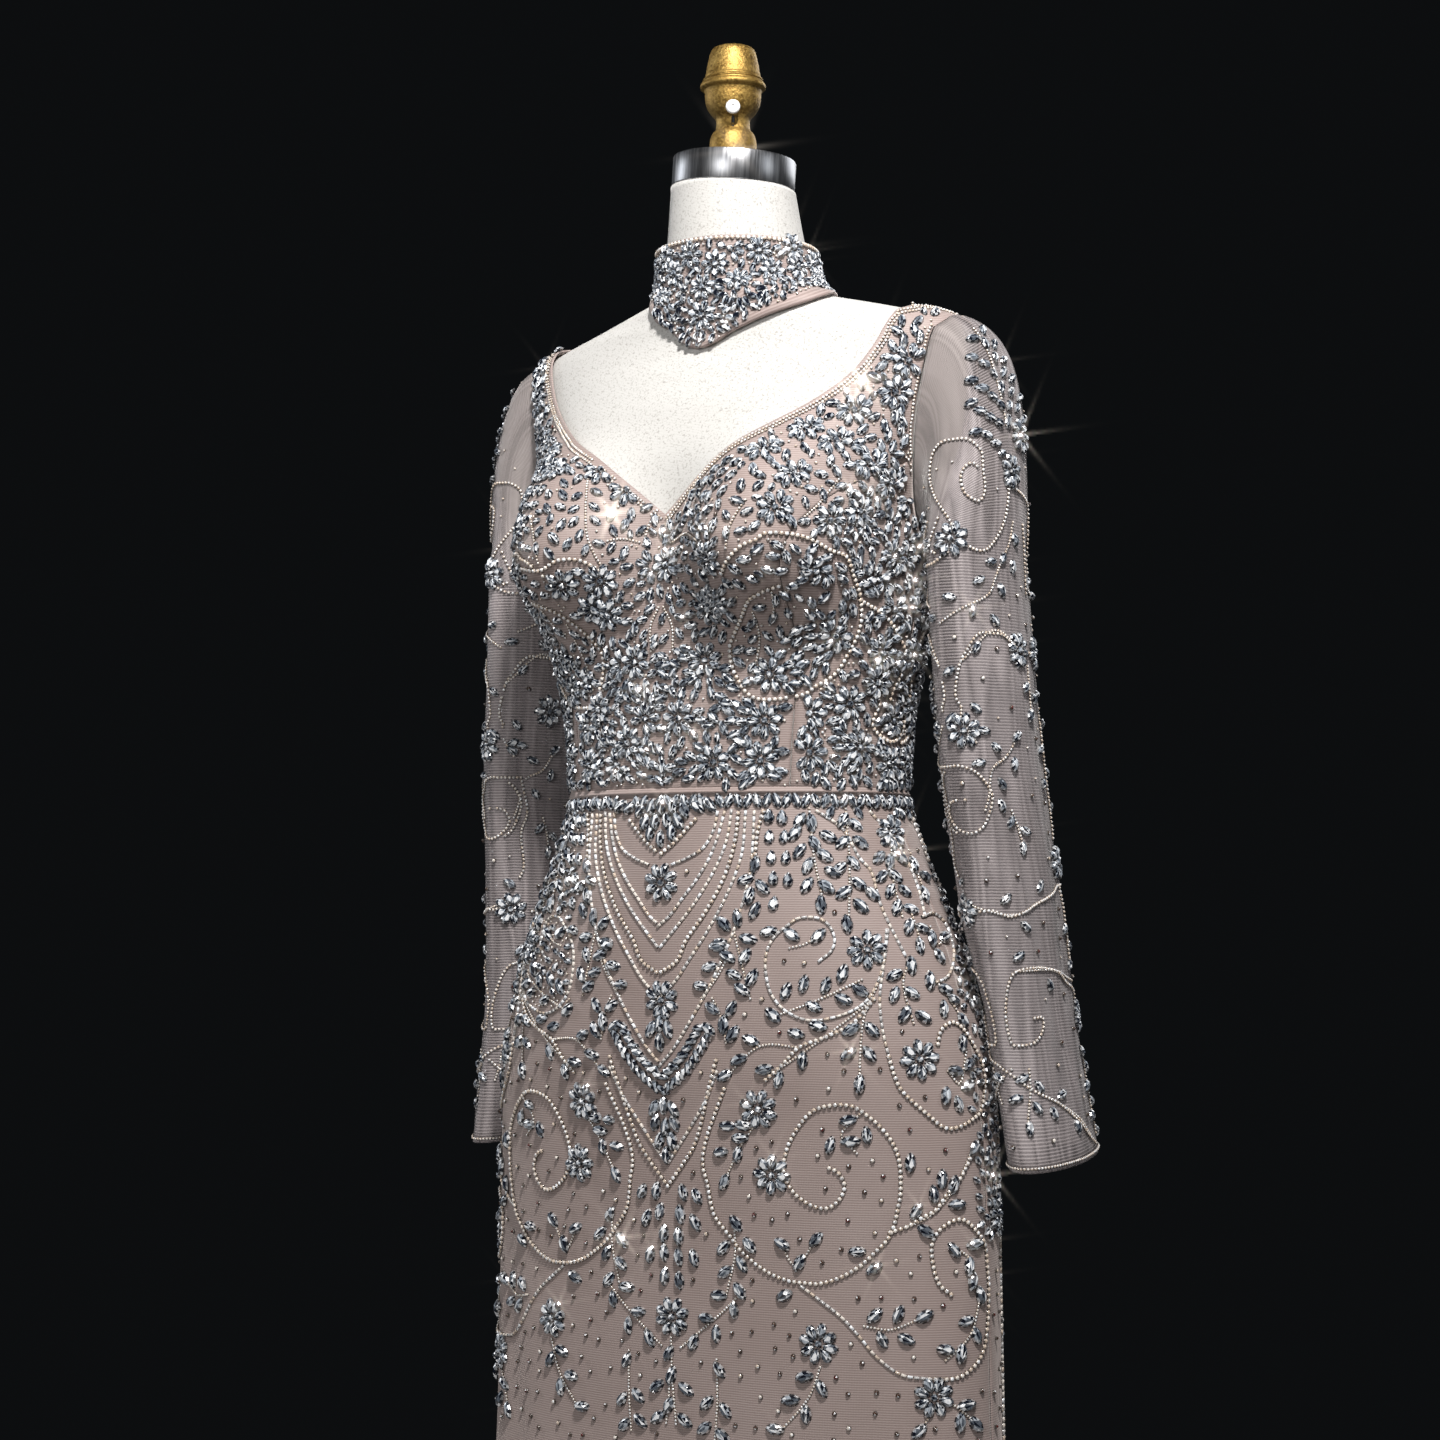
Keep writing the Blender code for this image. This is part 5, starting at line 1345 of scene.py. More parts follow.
def bead_meshes(name, rows, cloth, seed):
    """Makes rows into joined meshes on a cloth: one piece of stones and one of beads."""
    rng = np.random.default_rng(seed)
    groups = {"stones": [], "beads": []}
    for kind in sorted({row[0] for row in rows}):
        own = np.array([row[1:] for row in rows if row[0] == kind])
        word = "beads" if TEMPLATES[kind][0].smooth else "stones"
        groups[word].extend(set_on(cloth, own, TEMPLATES[kind], rng))
    made = []
    for word, parts in groups.items():
        if not parts:
            continue
        ends = np.cumsum([len(corners) * len(template.points) for corners, template in parts])
        faces = []
        for (corners, template), end in zip(parts, ends):
            many, each = corners.shape[:2]
            starts = end - each * np.arange(many, 0, -1)
            faces.append((template.faces[None] + starts[:, None, None]).reshape(-1, 3))
        slots = np.concatenate([np.tile(template.slots, len(corners)) for corners, template in parts])
        points = np.concatenate([corners.reshape(-1, 3) for corners, _ in parts])
        mesh = mesh_from(word + "_" + name, points, np.concatenate(faces), word == "beads", slots)
        made.append(link(word + "_" + name, mesh, BEAD_MATERIALS))
    return made


# ---- where the gown's cloth is ------------------------------------------------------------------

def edge_of(*outline):
    """Distance from the centre line along an outline of (distance, height), as a function of height."""
    across, height = zip(*outline)
    return curve(height, across)


# Each edge at the front and, under False, at the back.
NECK_EDGE = {True: edge_of(*NECKLINE), False: edge_of(*BACK_NECK)}
ARM_EDGE = {True: edge_of((0.1505, UNDERARM), (0.1500, 0.190), *FRONT_ARMHOLE),
            False: edge_of((0.1505, UNDERARM), (0.1500, 0.1885), *BACK_ARMHOLE)}
SEAM_EDGE = edge_of(*PRINCESS, FRONT_ARMHOLE[0])


def body_place(s, t):
    """Angle and distance from the centre line of places in mm, and whether they are in front."""
    where = BODY.find(np.asarray(s) * MM, np.asarray(t) * MM)
    turns = np.broadcast_to(np.linspace(-math.pi, math.pi, BODY.s.shape[1]), BODY.s.shape)
    angle = BODY.read(turns, where)
    return angle, np.abs(BODY.read(BODY.points, where)[:, 0]), np.abs(angle) < math.pi / 2


SIDE_GIRTH = 0.10  # metres of cloth for each radian near the armhole
STRAP_TOP = 0.345  # no bead lies higher on the shoulders


def on_gown(s, t, margin):
    """Whether places lie on the cloth, clear of its edges, the waist fold and the bare strips."""
    s, t = np.asarray(s, float), np.asarray(t, float)
    angle, across, front = body_place(s, t)
    turn = np.minimum(np.abs(angle), math.pi - np.abs(angle))
    height, room = t * MM, margin * MM
    bare = np.where((s > 42) & (s < 230), 0.5, 4.6 + 0.6 * margin)
    good = ((t > bare) | (t < -1.0 - 0.9 * margin)) & (height > HEM + room) & (height < STRAP_TOP)
    for facing in (True, False):
        low = NECKLINE_POINT if facing else BACK_NECKLINE
        neck = (height < low - room) | (across > NECK_EDGE[facing](height + 0.6 * room) + 0.6 * room)
        edge = front_angle(ARM_EDGE[facing](height), height)
        arm = (height < UNDERARM - room) | (turn < edge - room / SIDE_GIRTH)
        good &= np.where(front == facing, neck & arm, True)
    strip = np.where(t < 64, 2.0 * MM + 0.7 * room, -MM)
    good &= ~(front & (t > 0) & (np.abs(across - SEAM_EDGE(height)) < strip))
    opening = BODY.half_girth_mm(t) - np.abs(s)
    return good & ((t < -150) | (opening > 9.0))


def round_body(path):
    """A path of (angle, height) as (s, t) in mm."""
    turns = np.linspace(-math.pi, math.pi, BODY.s.shape[1])
    rows = [np.interp(level, BODY.levels, np.arange(len(BODY.levels))) for _, level in path]
    return np.array([(np.interp(angle, turns, BODY.s[int(round(row))]) / MM, level / MM)
                     for row, (angle, level) in zip(rows, path)])


def inset(path, distance):
    """A line beside another, that far to its left."""
    ahead = unit(np.gradient(np.asarray(path, float), axis=0))
    return np.asarray(path) + np.stack([-ahead[:, 1], ahead[:, 0]], 1) * distance


# ---- the pattern, in mm round from the centre front and up from the waist seam ------------------

SKIRT_BUGLES = [
    [(11, -49), (22, -45), (34, -38), (41, -26), (43, -15)],
    [(0, -91), (9, -84), (19, -72), (29, -60), (38, -46), (44, -31), (48, -15)],
    [(2, -105), (15, -91), (27, -77), (38, -61), (46, -46), (51, -31), (53, -14)],
    [(0, -141), (14, -128), (26, -112), (38, -95), (49, -76), (57, -58), (62, -40), (63, -15)],
    [(0, -186), (14, -171), (37, -137), (52, -108), (61, -84), (67, -60), (69, -40), (69, -15)],
    [(2, -252), (25, -222), (36, -206), (44, -190)],
    [(118, -114), (125, -108), (127, -100), (123, -91), (115, -86), (103, -86), (95, -91), (86, -99),
     (81, -110), (81, -123), (85, -137), (95, -148), (111, -154), (131, -151), (147, -143), (156, -130),
     (161, -113), (162, -95)],
    [(112, -14), (130, -26), (142, -45), (151, -55), (157, -75), (164, -90), (175, -110)],
    [(192, -85), (204, -83), (218, -89), (224, -100), (222, -112), (211, -125), (196, -130)],
    [(207, -14), (223, -40), (234, -60), (245, -80), (254, -100), (262, -125), (268, -155), (271, -180),
     (274, -240), (276, -320), (278, -440)],
    [(163, -95), (160, -120), (158, -140), (160, -160), (164, -178)],
    [(100, -332), (112, -340), (126, -350), (138, -362), (150, -376), (166, -387), (185, -390)],
    [(152, -14), (163, -24), (180, -42), (190, -62), (194, -84)],
]
SKIRT_PEARLS = [
    [(1, -42), (13, -33), (27, -19)],
    [(2, -123), (15, -115), (22, -101), (35, -84), (46, -66), (53, -49), (57, -31), (58, -15)],
    [(0, -269), (15, -251), (25, -236), (37, -202), (44, -182)],
    [(49, -201), (34, -232), (29, -251), (32, -266), (36, -286), (47, -300), (57, -311), (75, -323),
     (90, -328), (101, -329), (112, -329), (125, -325), (139, -317), (149, -308), (158, -299), (163, -289),
     (166, -277), (168, -267), (168, -248), (164, -235), (156, -224), (147, -216), (139, -211), (127, -210),
     (112, -214), (100, -226), (92, -240), (89, -254), (94, -267), (105, -276), (117, -279), (126, -274),
     (131, -264), (127, -255), (121, -252)],
    [(75, -14), (72, -27), (71, -43)],
    [(160, -294), (172, -290), (180, -285), (191, -279), (198, -270), (208, -260), (215, -250),
     (222, -240)],
    [(200, -335), (192, -328), (188, -315), (188, -300), (196, -290), (209, -286), (221, -295), (229, -305),
     (231, -320), (232, -335), (229, -360), (224, -375), (214, -385), (202, -390), (185, -390)],
    [(198, -170), (201, -161), (210, -156), (220, -160), (230, -170), (238, -180), (243, -190), (241, -201),
     (232, -215), (223, -220), (210, -225), (199, -225), (188, -216), (178, -207), (171, -199), (167, -189),
     (164, -178)],
    [(154, -140), (140, -156), (122, -165), (104, -172), (92, -184), (80, -194)],
    [(214, -18), (230, -44), (241, -64), (251, -84), (260, -103), (268, -128), (274, -157), (277, -182),
     (280, -242), (282, -322), (284, -440)],
]
SKIRT_FLOWERS = [
    (1, -62), (2, -142), (73, -214), (80, -258), (170, -28), (149, -107), (185, -180), (1, -358),
    (111, -369), (188, -402), (250, -285), (252, -118)
]
SKIRT_SPRIGS = [
    ([(54, -112), (44, -128), (34, -140)], [(46, -105), (40, -119), (33, -132)]),
    ([(70, -140), (64, -118), (58, -96)], [(53, -112), (66, -112), (58, -124), (71, -126), (64, -134)]),
    ([(52, -170), (48, -152), (42, -140)], [(56, -147), (42, -147), (50, -158), (39, -161), (57, -164)]),
    ([(104, -172), (76, -172), (50, -194)], [(86, -151), (70, -168), (61, -181), (50, -192)]),
    ([(150, -143), (120, -166), (88, -188)], [(117, -158), (102, -163), (106, -181), (89, -194),
      (79, -187)]),
    ([(92, -150), (118, -140), (146, -127)], [(95, -135), (107, -130), (114, -145), (122, -131),
      (133, -123), (134, -140), (145, -134)]),
    ([(156, -131), (147, -155), (144, -196)], [(139, -160), (153, -160), (137, -176), (151, -176),
      (144, -196)]),
    ([(72, -222), (58, -240), (46, -262)], [(49, -226), (61, -225), (58, -234), (43, -244), (56, -245),
      (45, -264)]),
    ([(50, -288), (51, -312), (44, -340)], [(52, -292), (62, -306), (42, -309), (56, -319), (43, -325),
      (54, -337)]),
    ([(143, -216), (130, -230), (140, -242)], [(135, -220), (122, -237), (136, -234), (147, -230)]),
    ([(168, -292), (190, -281), (208, -260), (220, -240)], [(178, -280), (184, -293), (190, -269),
      (196, -259), (204, -263), (206, -276), (222, -239)]),
    ([(200, -303), (214, -312), (219, -330)], [(203, -306), (214, -317), (219, -303), (216, -327),
      (223, -337)]),
    ([(222, -340), (214, -362), (196, -378)], [(211, -353), (219, -363), (207, -374), (196, -371)]),
    ([(205, -188), (214, -196), (222, -176)], [(219, -170), (224, -184), (211, -188), (221, -198),
      (202, -204), (211, -210)]),
    ([(86, -306), (96, -318), (110, -300)], [(86, -304), (98, -316), (110, -300)]),
    ([(58, -336), (36, -356), (8, -378)], [(38, -341), (50, -350), (28, -357), (36, -367), (18, -374)]),
    ([(0, -372), (1, -400), (4, -430)], [(-2, -383), (0, -398), (12, -406), (-2, -418), (11, -427)]),
    ([(36, -384), (36, -412), (34, -438)], [(38, -391), (28, -414), (42, -418), (26, -431), (40, -435)]),
    ([(106, -12), (111, -45), (117, -70)], [(100, -20), (97, -29), (108, -22), (120, -31), (111, -36),
      (101, -41), (118, -44), (107, -51), (107, -64), (120, -65), (124, -55), (117, -77)]),
    ([(132, -12), (135, -45), (136, -84)], [(130, -20), (139, -23), (143, -35), (130, -35), (128, -53),
      (138, -49), (132, -69), (142, -63), (152, -70), (144, -78), (135, -90)]),
    ([(168, -38), (168, -60), (174, -85)], [(157, -45), (166, -48), (176, -45), (159, -58), (170, -58),
      (165, -68), (177, -68), (170, -79), (181, -80)]),
    ([(188, -40), (195, -60), (200, -75)], [(190, -50), (203, -58), (197, -70)]),
    ([(118, -96), (108, -103), (97, -106)], [(98, -97), (116, -98)]),
    ([(182, -84), (186, -96), (188, -110)], [(179, -92), (190, -93), (187, -105)]),
    ([(198, -92), (205, -104), (213, -96)], [(198, -100), (213, -99), (204, -112)]),
    ([(180, -112), (174, -130), (181, -156)], [(180, -118), (168, -124), (168, -137), (180, -136),
      (175, -150), (188, -152)]),
    ([(193, -122), (208, -138), (222, -155)], [(194, -128), (207, -134), (214, -141), (204, -147),
      (222, -155)]),
    ([(112, -384), (103, -406), (82, -430)], [(101, -391), (113, -398), (91, -407), (102, -416),
      (80, -427)]),
    ([(142, -356), (160, -358), (180, -350)], [(149, -349), (165, -348), (182, -349), (154, -365),
      (170, -364)]),
    ([(196, -404), (208, -412), (217, -420)], [(211, -408), (206, -419), (218, -421)]),
    ([(185, -414), (176, -430), (170, -446)], [(178, -424), (186, -436), (171, -442)]),
]
SKIRT_CLUSTERS = [
    ((0, -240), [(-10, -273), (12, -273), (-22, -274), (23, -275)]),
    ((0, -250), [(-8, -287), (9, -288), (-19, -292), (21, -293), (-5, -302), (7, -303), (-17, -317),
      (19, -317), (-5, -315), (7, -317), (-5, -331), (7, -333)]),
    ((0, -140), [(0, -158), (-7, -162), (7, -162), (0, -171)]),
    ((0, -200), [(0, -214), (-8, -216), (8, -216), (-8, -226), (8, -226), (0, -229), (-5, -238), (5, -238),
      (0, -248)]),
    ((170, -300), [(175, -248), (138, -307), (149, -318), (87, -338)]),
    ((0, 20), [(0, -10), (-9, -10), (9, -10), (-18, -12), (18, -12), (-28, -10), (28, -10), (-37, -9),
      (37, -9), (-5, -20), (5, -20), (-14, -20), (14, -20), (0, -32), (-9, -28), (9, -28)]),
    ((70, -58), [(71, -50), (65, -60), (77, -65), (68, -71)]),
    ((62, -100), [(50, -90), (60, -86), (72, -81), (47, -103), (68, -100), (82, -95)]),
]
SKIRT_TEARDROPS = [
    (80, -31), (90, -31), (82, -45), (92, -45), (84, -59), (94, -60), (85, -76), (79, -17), (88, -18)
]
V_ARM = [
    (-36, -163), (-27, -176), (-17, -187), (-8, -194), (0, -199), (8, -194), (17, -187), (26, -176),
    (35, -163)
]


def lay(beading, lines, flowers, sprigs, size=1.0, leaf_size=1.0):
    """Lines of beads, then flowers, then sprigs; lines are (kind, list of lines) pairs."""
    beading.leaf_size = leaf_size
    for kind, paths in lines:
        beading.lines(kind, paths)
    for s, t in flowers:
        beading.flower(s, t, size)
    for stem, leaves in sprigs:
        beading.sprig(stem, leaves)


def moved(points, s, t, side):
    """Points of a pattern carried to (s, t), mirrored where side is -1."""
    return [(s + side * ds, t + dt) for ds, dt in points]


LOWER_FLOWERS = [(0, 0), (74, -30), (-58, -96), (30, -120)]
LOWER_SCROLL = [(-30, 10), (-48, -14), (-44, -40), (-22, -48), (-6, -36), (-12, -20)]
LOWER_SPRIG = ([(8, -26), (26, -56), (34, -88)], [(10, -34), (24, -40), (18, -54), (34, -58), (24, -72),
                                                 (40, -78), (34, -94)])
LOWER_LEVELS, LOWER_PITCH = (-500, -650, -800, -930), 150
# Height, pitch, lean in degrees from straight down, size, and the clearance that a leaf needs.
FRINGE_ROWS = [(-6.4, 6.6, 22, 0.84, 0.45), (-14.5, 7.0, 28, 0.8, 0.7)]


def chevron(beading):
    """Two rows of small leaves that lean away from each other along the V below the waist."""
    for side in (-1, 1):
        arm = Beading(BODY, 9)
        arm.line("small", inset(V_ARM, 4.4 * side), 5.6)
        for k, (kind, s, t, turn, _) in enumerate(arm.rows):
            lean = math.radians((46 if k % 2 else 30) * side * (1 if s < 0 else -1))
            beading.put(kind, s, t, turn + (math.pi if s < 0 else 0) + lean, 1.2)


def lower_skirt():
    """A flower group, a scroll and a sprig, repeated round the lower skirt in ever sparser rows."""
    lower = Beading(BODY, 8)
    for row, level in enumerate(LOWER_LEVELS):
        girth = BODY.half_girth_mm(level)
        count = int(girth // LOWER_PITCH)
        for k in range(-count, count + 1):
            s = (k + 0.5 * (row % 2)) * LOWER_PITCH + lower.rng.uniform(-8, 8)
            if abs(s) > girth - 40:
                continue
            side = 1 if k % 2 else -1
            for flower in moved(LOWER_FLOWERS[:4 - row], s, level, side):
                lower.flower(*flower)
            lower.lines("pearl", [moved(LOWER_SCROLL, s, level, side)])
            lower.sprig(*(moved(points, s, level, side) for points in LOWER_SPRIG))
    return lower.rows


def waist_fringe(beading):
    """Two rows of leaves that hang from the waist seam, the second with gaps and off the centre front."""
    girth = BODY.half_girth_mm(-9.0) - 12
    for row, (level, pitch, lean, size, clear) in enumerate(FRINGE_ROWS):
        for k, s in enumerate(np.arange(4 * row - girth, girth, pitch)):
            if row == 0 or (abs(s) > 58 and k % 4):
                turn = math.radians(-90 + (lean if k % 2 else -lean))
                beading.merge([("marquise", s, level, turn, size)], clear)


def skirt_beads():
    """The upper skirt's chevrons, scrolls and sprays, then sparser repeats down to the hem."""
    upper = Beading(BODY, 7)
    lay(upper, [("bugle", SKIRT_BUGLES), ("pearl", SKIRT_PEARLS)], SKIRT_FLOWERS, SKIRT_SPRIGS)
    for centre, leaves in SKIRT_CLUSTERS:
        upper.cluster(centre, leaves)
    for s, t in SKIRT_TEARDROPS:
        upper.leaf(s, t, 90, "teardrop")
    chevron(upper)
    upper.merge(upper.mirrored(), 0.6)
    upper.merge(lower_skirt(), 0.9)
    back = [row for row in upper.mirrored(BODY.half_girth_mm) if row[2] > -440 and abs(row[1]) > 288]
    upper.merge(back, 0.95)
    hem = HEM / MM + 9
    girth = BODY.half_girth_mm(hem) - 2
    for kind, level in (("bugle", hem), ("pearl", hem + 5)):
        upper.lines(kind, [[(s, level) for s in np.linspace(-girth, girth, 40)]])
    waist_fringe(upper)
    upper.fill("small", on_gown, 3.4, 1500, (-215, -150), (-84, -14))
    upper.fill("small", on_gown, 3.4, 900, (222, -300), (262, -14))
    upper.fill("seed", on_gown, 1.6, 1600, (-215, -150), (-84, -14))
    for room, tries, low, high in ((6.0, 5200, -450, -12), (17.0, 1600, HEM / MM, -450)):
        reach = BODY.half_girth_mm(low)
        upper.fill("bronze", on_gown, room, tries, (-reach, low), (reach, high))
    upper.trim(on_gown)
    return upper.rows


BODICE_FLOWERS = [
    (6, 157), (51, 129), (67, 155), (166, 294), (161, 272), (136, 259), (109, 245), (90, 230),
    (135, 236), (123, 211), (173, 221), (201, 210), (121, 187), (185, 188), (229, 200), (162, 180),
    (34, 90), (14, 51), (80, 79), (73, 21), (43, 125), (143, 146), (194, 144), (128, 105), (162, 95),
    (106, 53), (76, 48), (106, 26), (175, 50), (157, 75), (223, 125), (40, 20), (135, 60), (143, 30),
    (196, 95), (200, 60), (170, 20), (205, 25), (222, 160)
]
LEFT_FLOWERS = [
    (-71, 145), (-44, 147), (-51, 227), (-30, 212), (-23, 91), (-95, 75), (-60, 60), (-30, 35)
]
BODICE_SPRIGS = [
    ([(2, 128), (9, 115), (9, 98)], [(1, 120), (16, 120), (15, 109), (2, 106)]),
    ([(78, 120), (76, 104), (70, 84)], [(74, 113), (71, 103), (82, 105), (68, 95), (81, 95), (68, 84)]),
    ([(100, 132), (94, 122), (86, 112)], [(99, 127), (90, 116), (102, 119), (85, 123)]),
    ([(88, 160), (94, 178), (100, 192)], [(89, 182), (81, 190), (90, 170), (100, 171), (103, 184)]),
    ([(140, 178), (152, 192), (158, 210)], [(141, 191), (143, 178), (152, 197), (165, 194), (152, 214),
      (162, 204)]),
    ([(10, 172), (32, 176), (58, 168)], [(13, 177), (36, 170), (54, 164)]),
]
LEFT_SPRIGS = [
    ([(-59, 222), (-55, 184), (-48, 166), (-37, 150)], [(-64, 207), (-51, 210), (-65, 197), (-51, 199),
      (-64, 188), (-49, 189), (-59, 178), (-54, 168), (-45, 173)]),
    ([(-6, 196), (-11, 186), (-14, 172)], [(-14, 198), (-7, 189), (-16, 182), (-11, 173)]),
]
BODICE_PEARLS = [
    [(75, 145), (97, 160), (110, 165), (116, 169), (132, 169), (148, 166), (161, 160), (174, 155),
     (168, 137), (160, 126)],
    [(108, 136), (93, 132), (77, 125), (57, 105), (53, 92), (57, 78), (65, 66), (77, 62), (101, 65),
     (111, 71), (125, 80), (136, 95), (160, 126)],
    [(162, 129), (176, 119), (184, 100), (196, 75), (189, 45), (172, 35), (154, 45), (159, 60)],
]
LEFT_PEARLS = [
    [(-108, 158), (-87, 155), (-73, 161), (-58, 161), (-43, 154), (-37, 152)],
]
BODICE_LOW, BODICE_HIGH = (-500.0, 4), (500.0, 345)  # corners of the field that is filled


def bodice_room(s, t):
    """Close below the bust and at the sides, looser over the cups and at the back."""
    loose = smooth_step(100, 140, t) * (np.abs(s) < 150)
    return np.where(np.abs(s) < 200, 2.8 + 1.2 * loose, 3.4 + 1.0 * (np.abs(s) > 250))


def bodice_beads():
    """Flowers, sprigs and bead lines, then stones packed closely between them."""
    laid, right = Beading(BODY, 11), Beading(BODY, 12)
    lay(laid, [("pearl", LEFT_PEARLS)], LEFT_FLOWERS, LEFT_SPRIGS, 0.95, 0.76)
    lay(right, [("pearl", BODICE_PEARLS)], BODICE_FLOWERS, BODICE_SPRIGS, 0.95, 0.76)
    laid.merge(right.rows, 0.5)
    laid.merge(right.mirrored(), 0.8)
    laid.merge(right.mirrored(BODY.half_girth_mm), 0.9)
    for edge, depths in ((neckline_front(), (3.6, 6.2)), (neckline_back(), (-3.6, -6.2)),
                         (armhole_front(), (-2.2,)), (armhole_back(), (2.2,))):
        line = round_body(resample(edge, 30))
        for depth in depths:
            for side in (1, -1):
                row = Beading(BODY, 1)
                row.line("seed", inset(line, -depth) * [side, 1], 2.6, 1.1)
                laid.merge(row.rows, 0.7)
    for kind, share, tries, size in (("marquise", 1.0, 26000, 0.84), ("small", 0.72, 14000, 1.0),
                                     ("seed", 0.45, 12000, 1.0)):
        laid.fill(kind, on_gown, lambda s, t: bodice_room(s, t) * share, tries, BODICE_LOW, BODICE_HIGH,
                  size)
    laid.fill("bronze", on_gown, 2.6, 1500, BODICE_LOW, BODICE_HIGH)
    laid.trim(on_gown)
    return laid.rows


def panel_of(s, t):
    """The panel that each place lies on."""
    angle, across, front = body_place(s, t)
    height = np.asarray(t) * MM
    side = np.where(angle > 0, "left", "right")
    centre = (across < SEAM_EDGE(height)) | (height > FRONT_ARMHOLE[0][1])
    skirt = np.where(front, "skirt_front", np.char.add("skirt_back_", side))
    ahead = np.where(centre, "bodice_front", np.char.add("bodice_side_front_", side))
    bodice = np.where(front, ahead, np.char.add("bodice_back_", side))
    return np.where(height < 0, skirt, bodice)


# On the sleeve: mm round from its outside line, to the front being negative, and up from the cuff.
SLEEVE_PEARLS = [
    [(-39, 483), (-44, 489), (-51, 490), (-53, 483), (-49, 468), (-41, 458), (-35, 455), (-32, 463),
     (-34, 478), (-35, 491), (-40, 500), (-49, 512), (-64, 526), (-79, 540), (-93, 550), (-99, 548),
     (-98, 531), (-86, 505), (-71, 475), (-60, 451), (-52, 430), (-47, 421), (-34, 416), (-24, 422),
     (-16, 434), (-11, 446), (-8, 463)],
    [(-7, 463), (24, 454), (26, 430), (32, 407)],
    [(-84, 407), (-70, 408), (-56, 416)],
    [(32, 350), (12, 349), (-8, 352), (-21, 359), (-30, 360), (-42, 359), (-54, 344), (-58, 334),
     (-61, 318), (-58, 310)],
    [(-87, 270), (-72, 270), (-62, 270), (-52, 265), (-46, 257), (-44, 249), (-48, 237), (-54, 228),
     (-63, 224), (-72, 228), (-78, 237), (-75, 245), (-69, 247)],
    [(34, 302), (35, 288), (35, 263), (35, 243), (29, 222)],
    [(-87, 270), (-92, 245), (-87, 228), (-89, 204), (-86, 195)],
    [(-83, 179), (-68, 171), (-57, 171), (-45, 167), (-30, 171), (-8, 179), (17, 187), (28, 189)],
    [(26, 187), (29, 172), (29, 153), (29, 132)],
    [(-39, 98), (-31, 98), (-33, 90), (-42, 82), (-53, 80), (-59, 82), (-60, 98), (-57, 114), (-53, 124),
     (-46, 130), (-30, 132), (-7, 130), (12, 122), (30, 114), (30, 98)],
    [(-83, 98), (-86, 75), (-69, 65), (-59, 57), (-47, 48), (-31, 41), (-17, 33), (7, 16), (21, 8)],
    [(12, 438), (16, 415), (16, 391)],
]
SLEEVE_FLOWERS = [
    (-5, 473), (-57, 427), (23, 350), (11, 500), (-6, 350), (-58, 294), (28, 205), (-79, 171), (31, 98),
    (62, 455), (-108, 320), (75, 262), (-112, 470)
]
SLEEVE_SPRIGS = [
    ([(-8, 505), (-14, 540), (-18, 580)], [(-25, 574), (-8, 576), (-16, 566), (-32, 562), (-2, 564),
      (-24, 553), (-9, 554), (4, 553), (-38, 548), (-17, 543), (-2, 543), (-30, 537), (9, 541), (-42, 534),
      (-10, 532), (-22, 528), (4, 530), (-34, 522), (-14, 520), (-2, 519), (-26, 514), (10, 520),
      (-40, 510), (-18, 508), (-6, 508), (16, 530), (18, 515), (-30, 502), (-22, 494), (-16, 486)]),
    ([(-3, 438), (-9, 421), (-24, 399), (-32, 386), (-51, 377), (-68, 367)], [(-1, 426), (-15, 412),
      (-5, 407), (-27, 409), (-20, 390), (-38, 396), (-45, 375), (-60, 384), (-76, 371)]),
    ([(16, 400), (24, 394), (34, 391)], [(26, 400), (34, 391)]),
    ([(-8, 352), (-30, 362), (-56, 340)], [(-28, 369), (-44, 350), (-64, 334)]),
    ([(6, 340), (6, 322), (6, 306)], [(0, 325), (12, 318), (4, 306)]),
    ([(-58, 310), (-58, 300), (-50, 286)], [(-48, 309), (-66, 302), (-44, 294)]),
    ([(-16, 290), (-27, 276), (-41, 268), (-46, 250), (-50, 240)], [(-16, 291), (-20, 272), (-35, 283),
      (-33, 258), (-50, 272), (-37, 243)]),
    ([(33, 310), (36, 282), (35, 240)], [(26, 322), (40, 302), (27, 284), (41, 268), (24, 260), (40, 244)]),
    ([(-27, 240), (-24, 230), (-22, 218)], [(-30, 232), (-18, 226), (-22, 214)]),
    ([(-83, 179), (-45, 168), (-8, 179)], [(-78, 190), (-46, 179), (-34, 160), (-12, 188)]),
    ([(-46, 130), (-8, 130), (28, 122)], [(-43, 140), (-14, 120), (26, 133)]),
    ([(-50, 64), (-52, 48), (-57, 30)], [(-56, 58), (-45, 52), (-63, 44), (-49, 38), (-57, 26)]),
    ([(-38, 44), (-12, 32), (10, 16)], [(-36, 34), (-24, 46), (-12, 24)]),
    ([(31, 160), (31, 150), (31, 132)], [(25, 158), (37, 146)]),
    ([(30, 76), (30, 45), (30, 14)], [(24, 73), (36, 62), (24, 49), (36, 38), (24, 28), (34, 15)]),
]


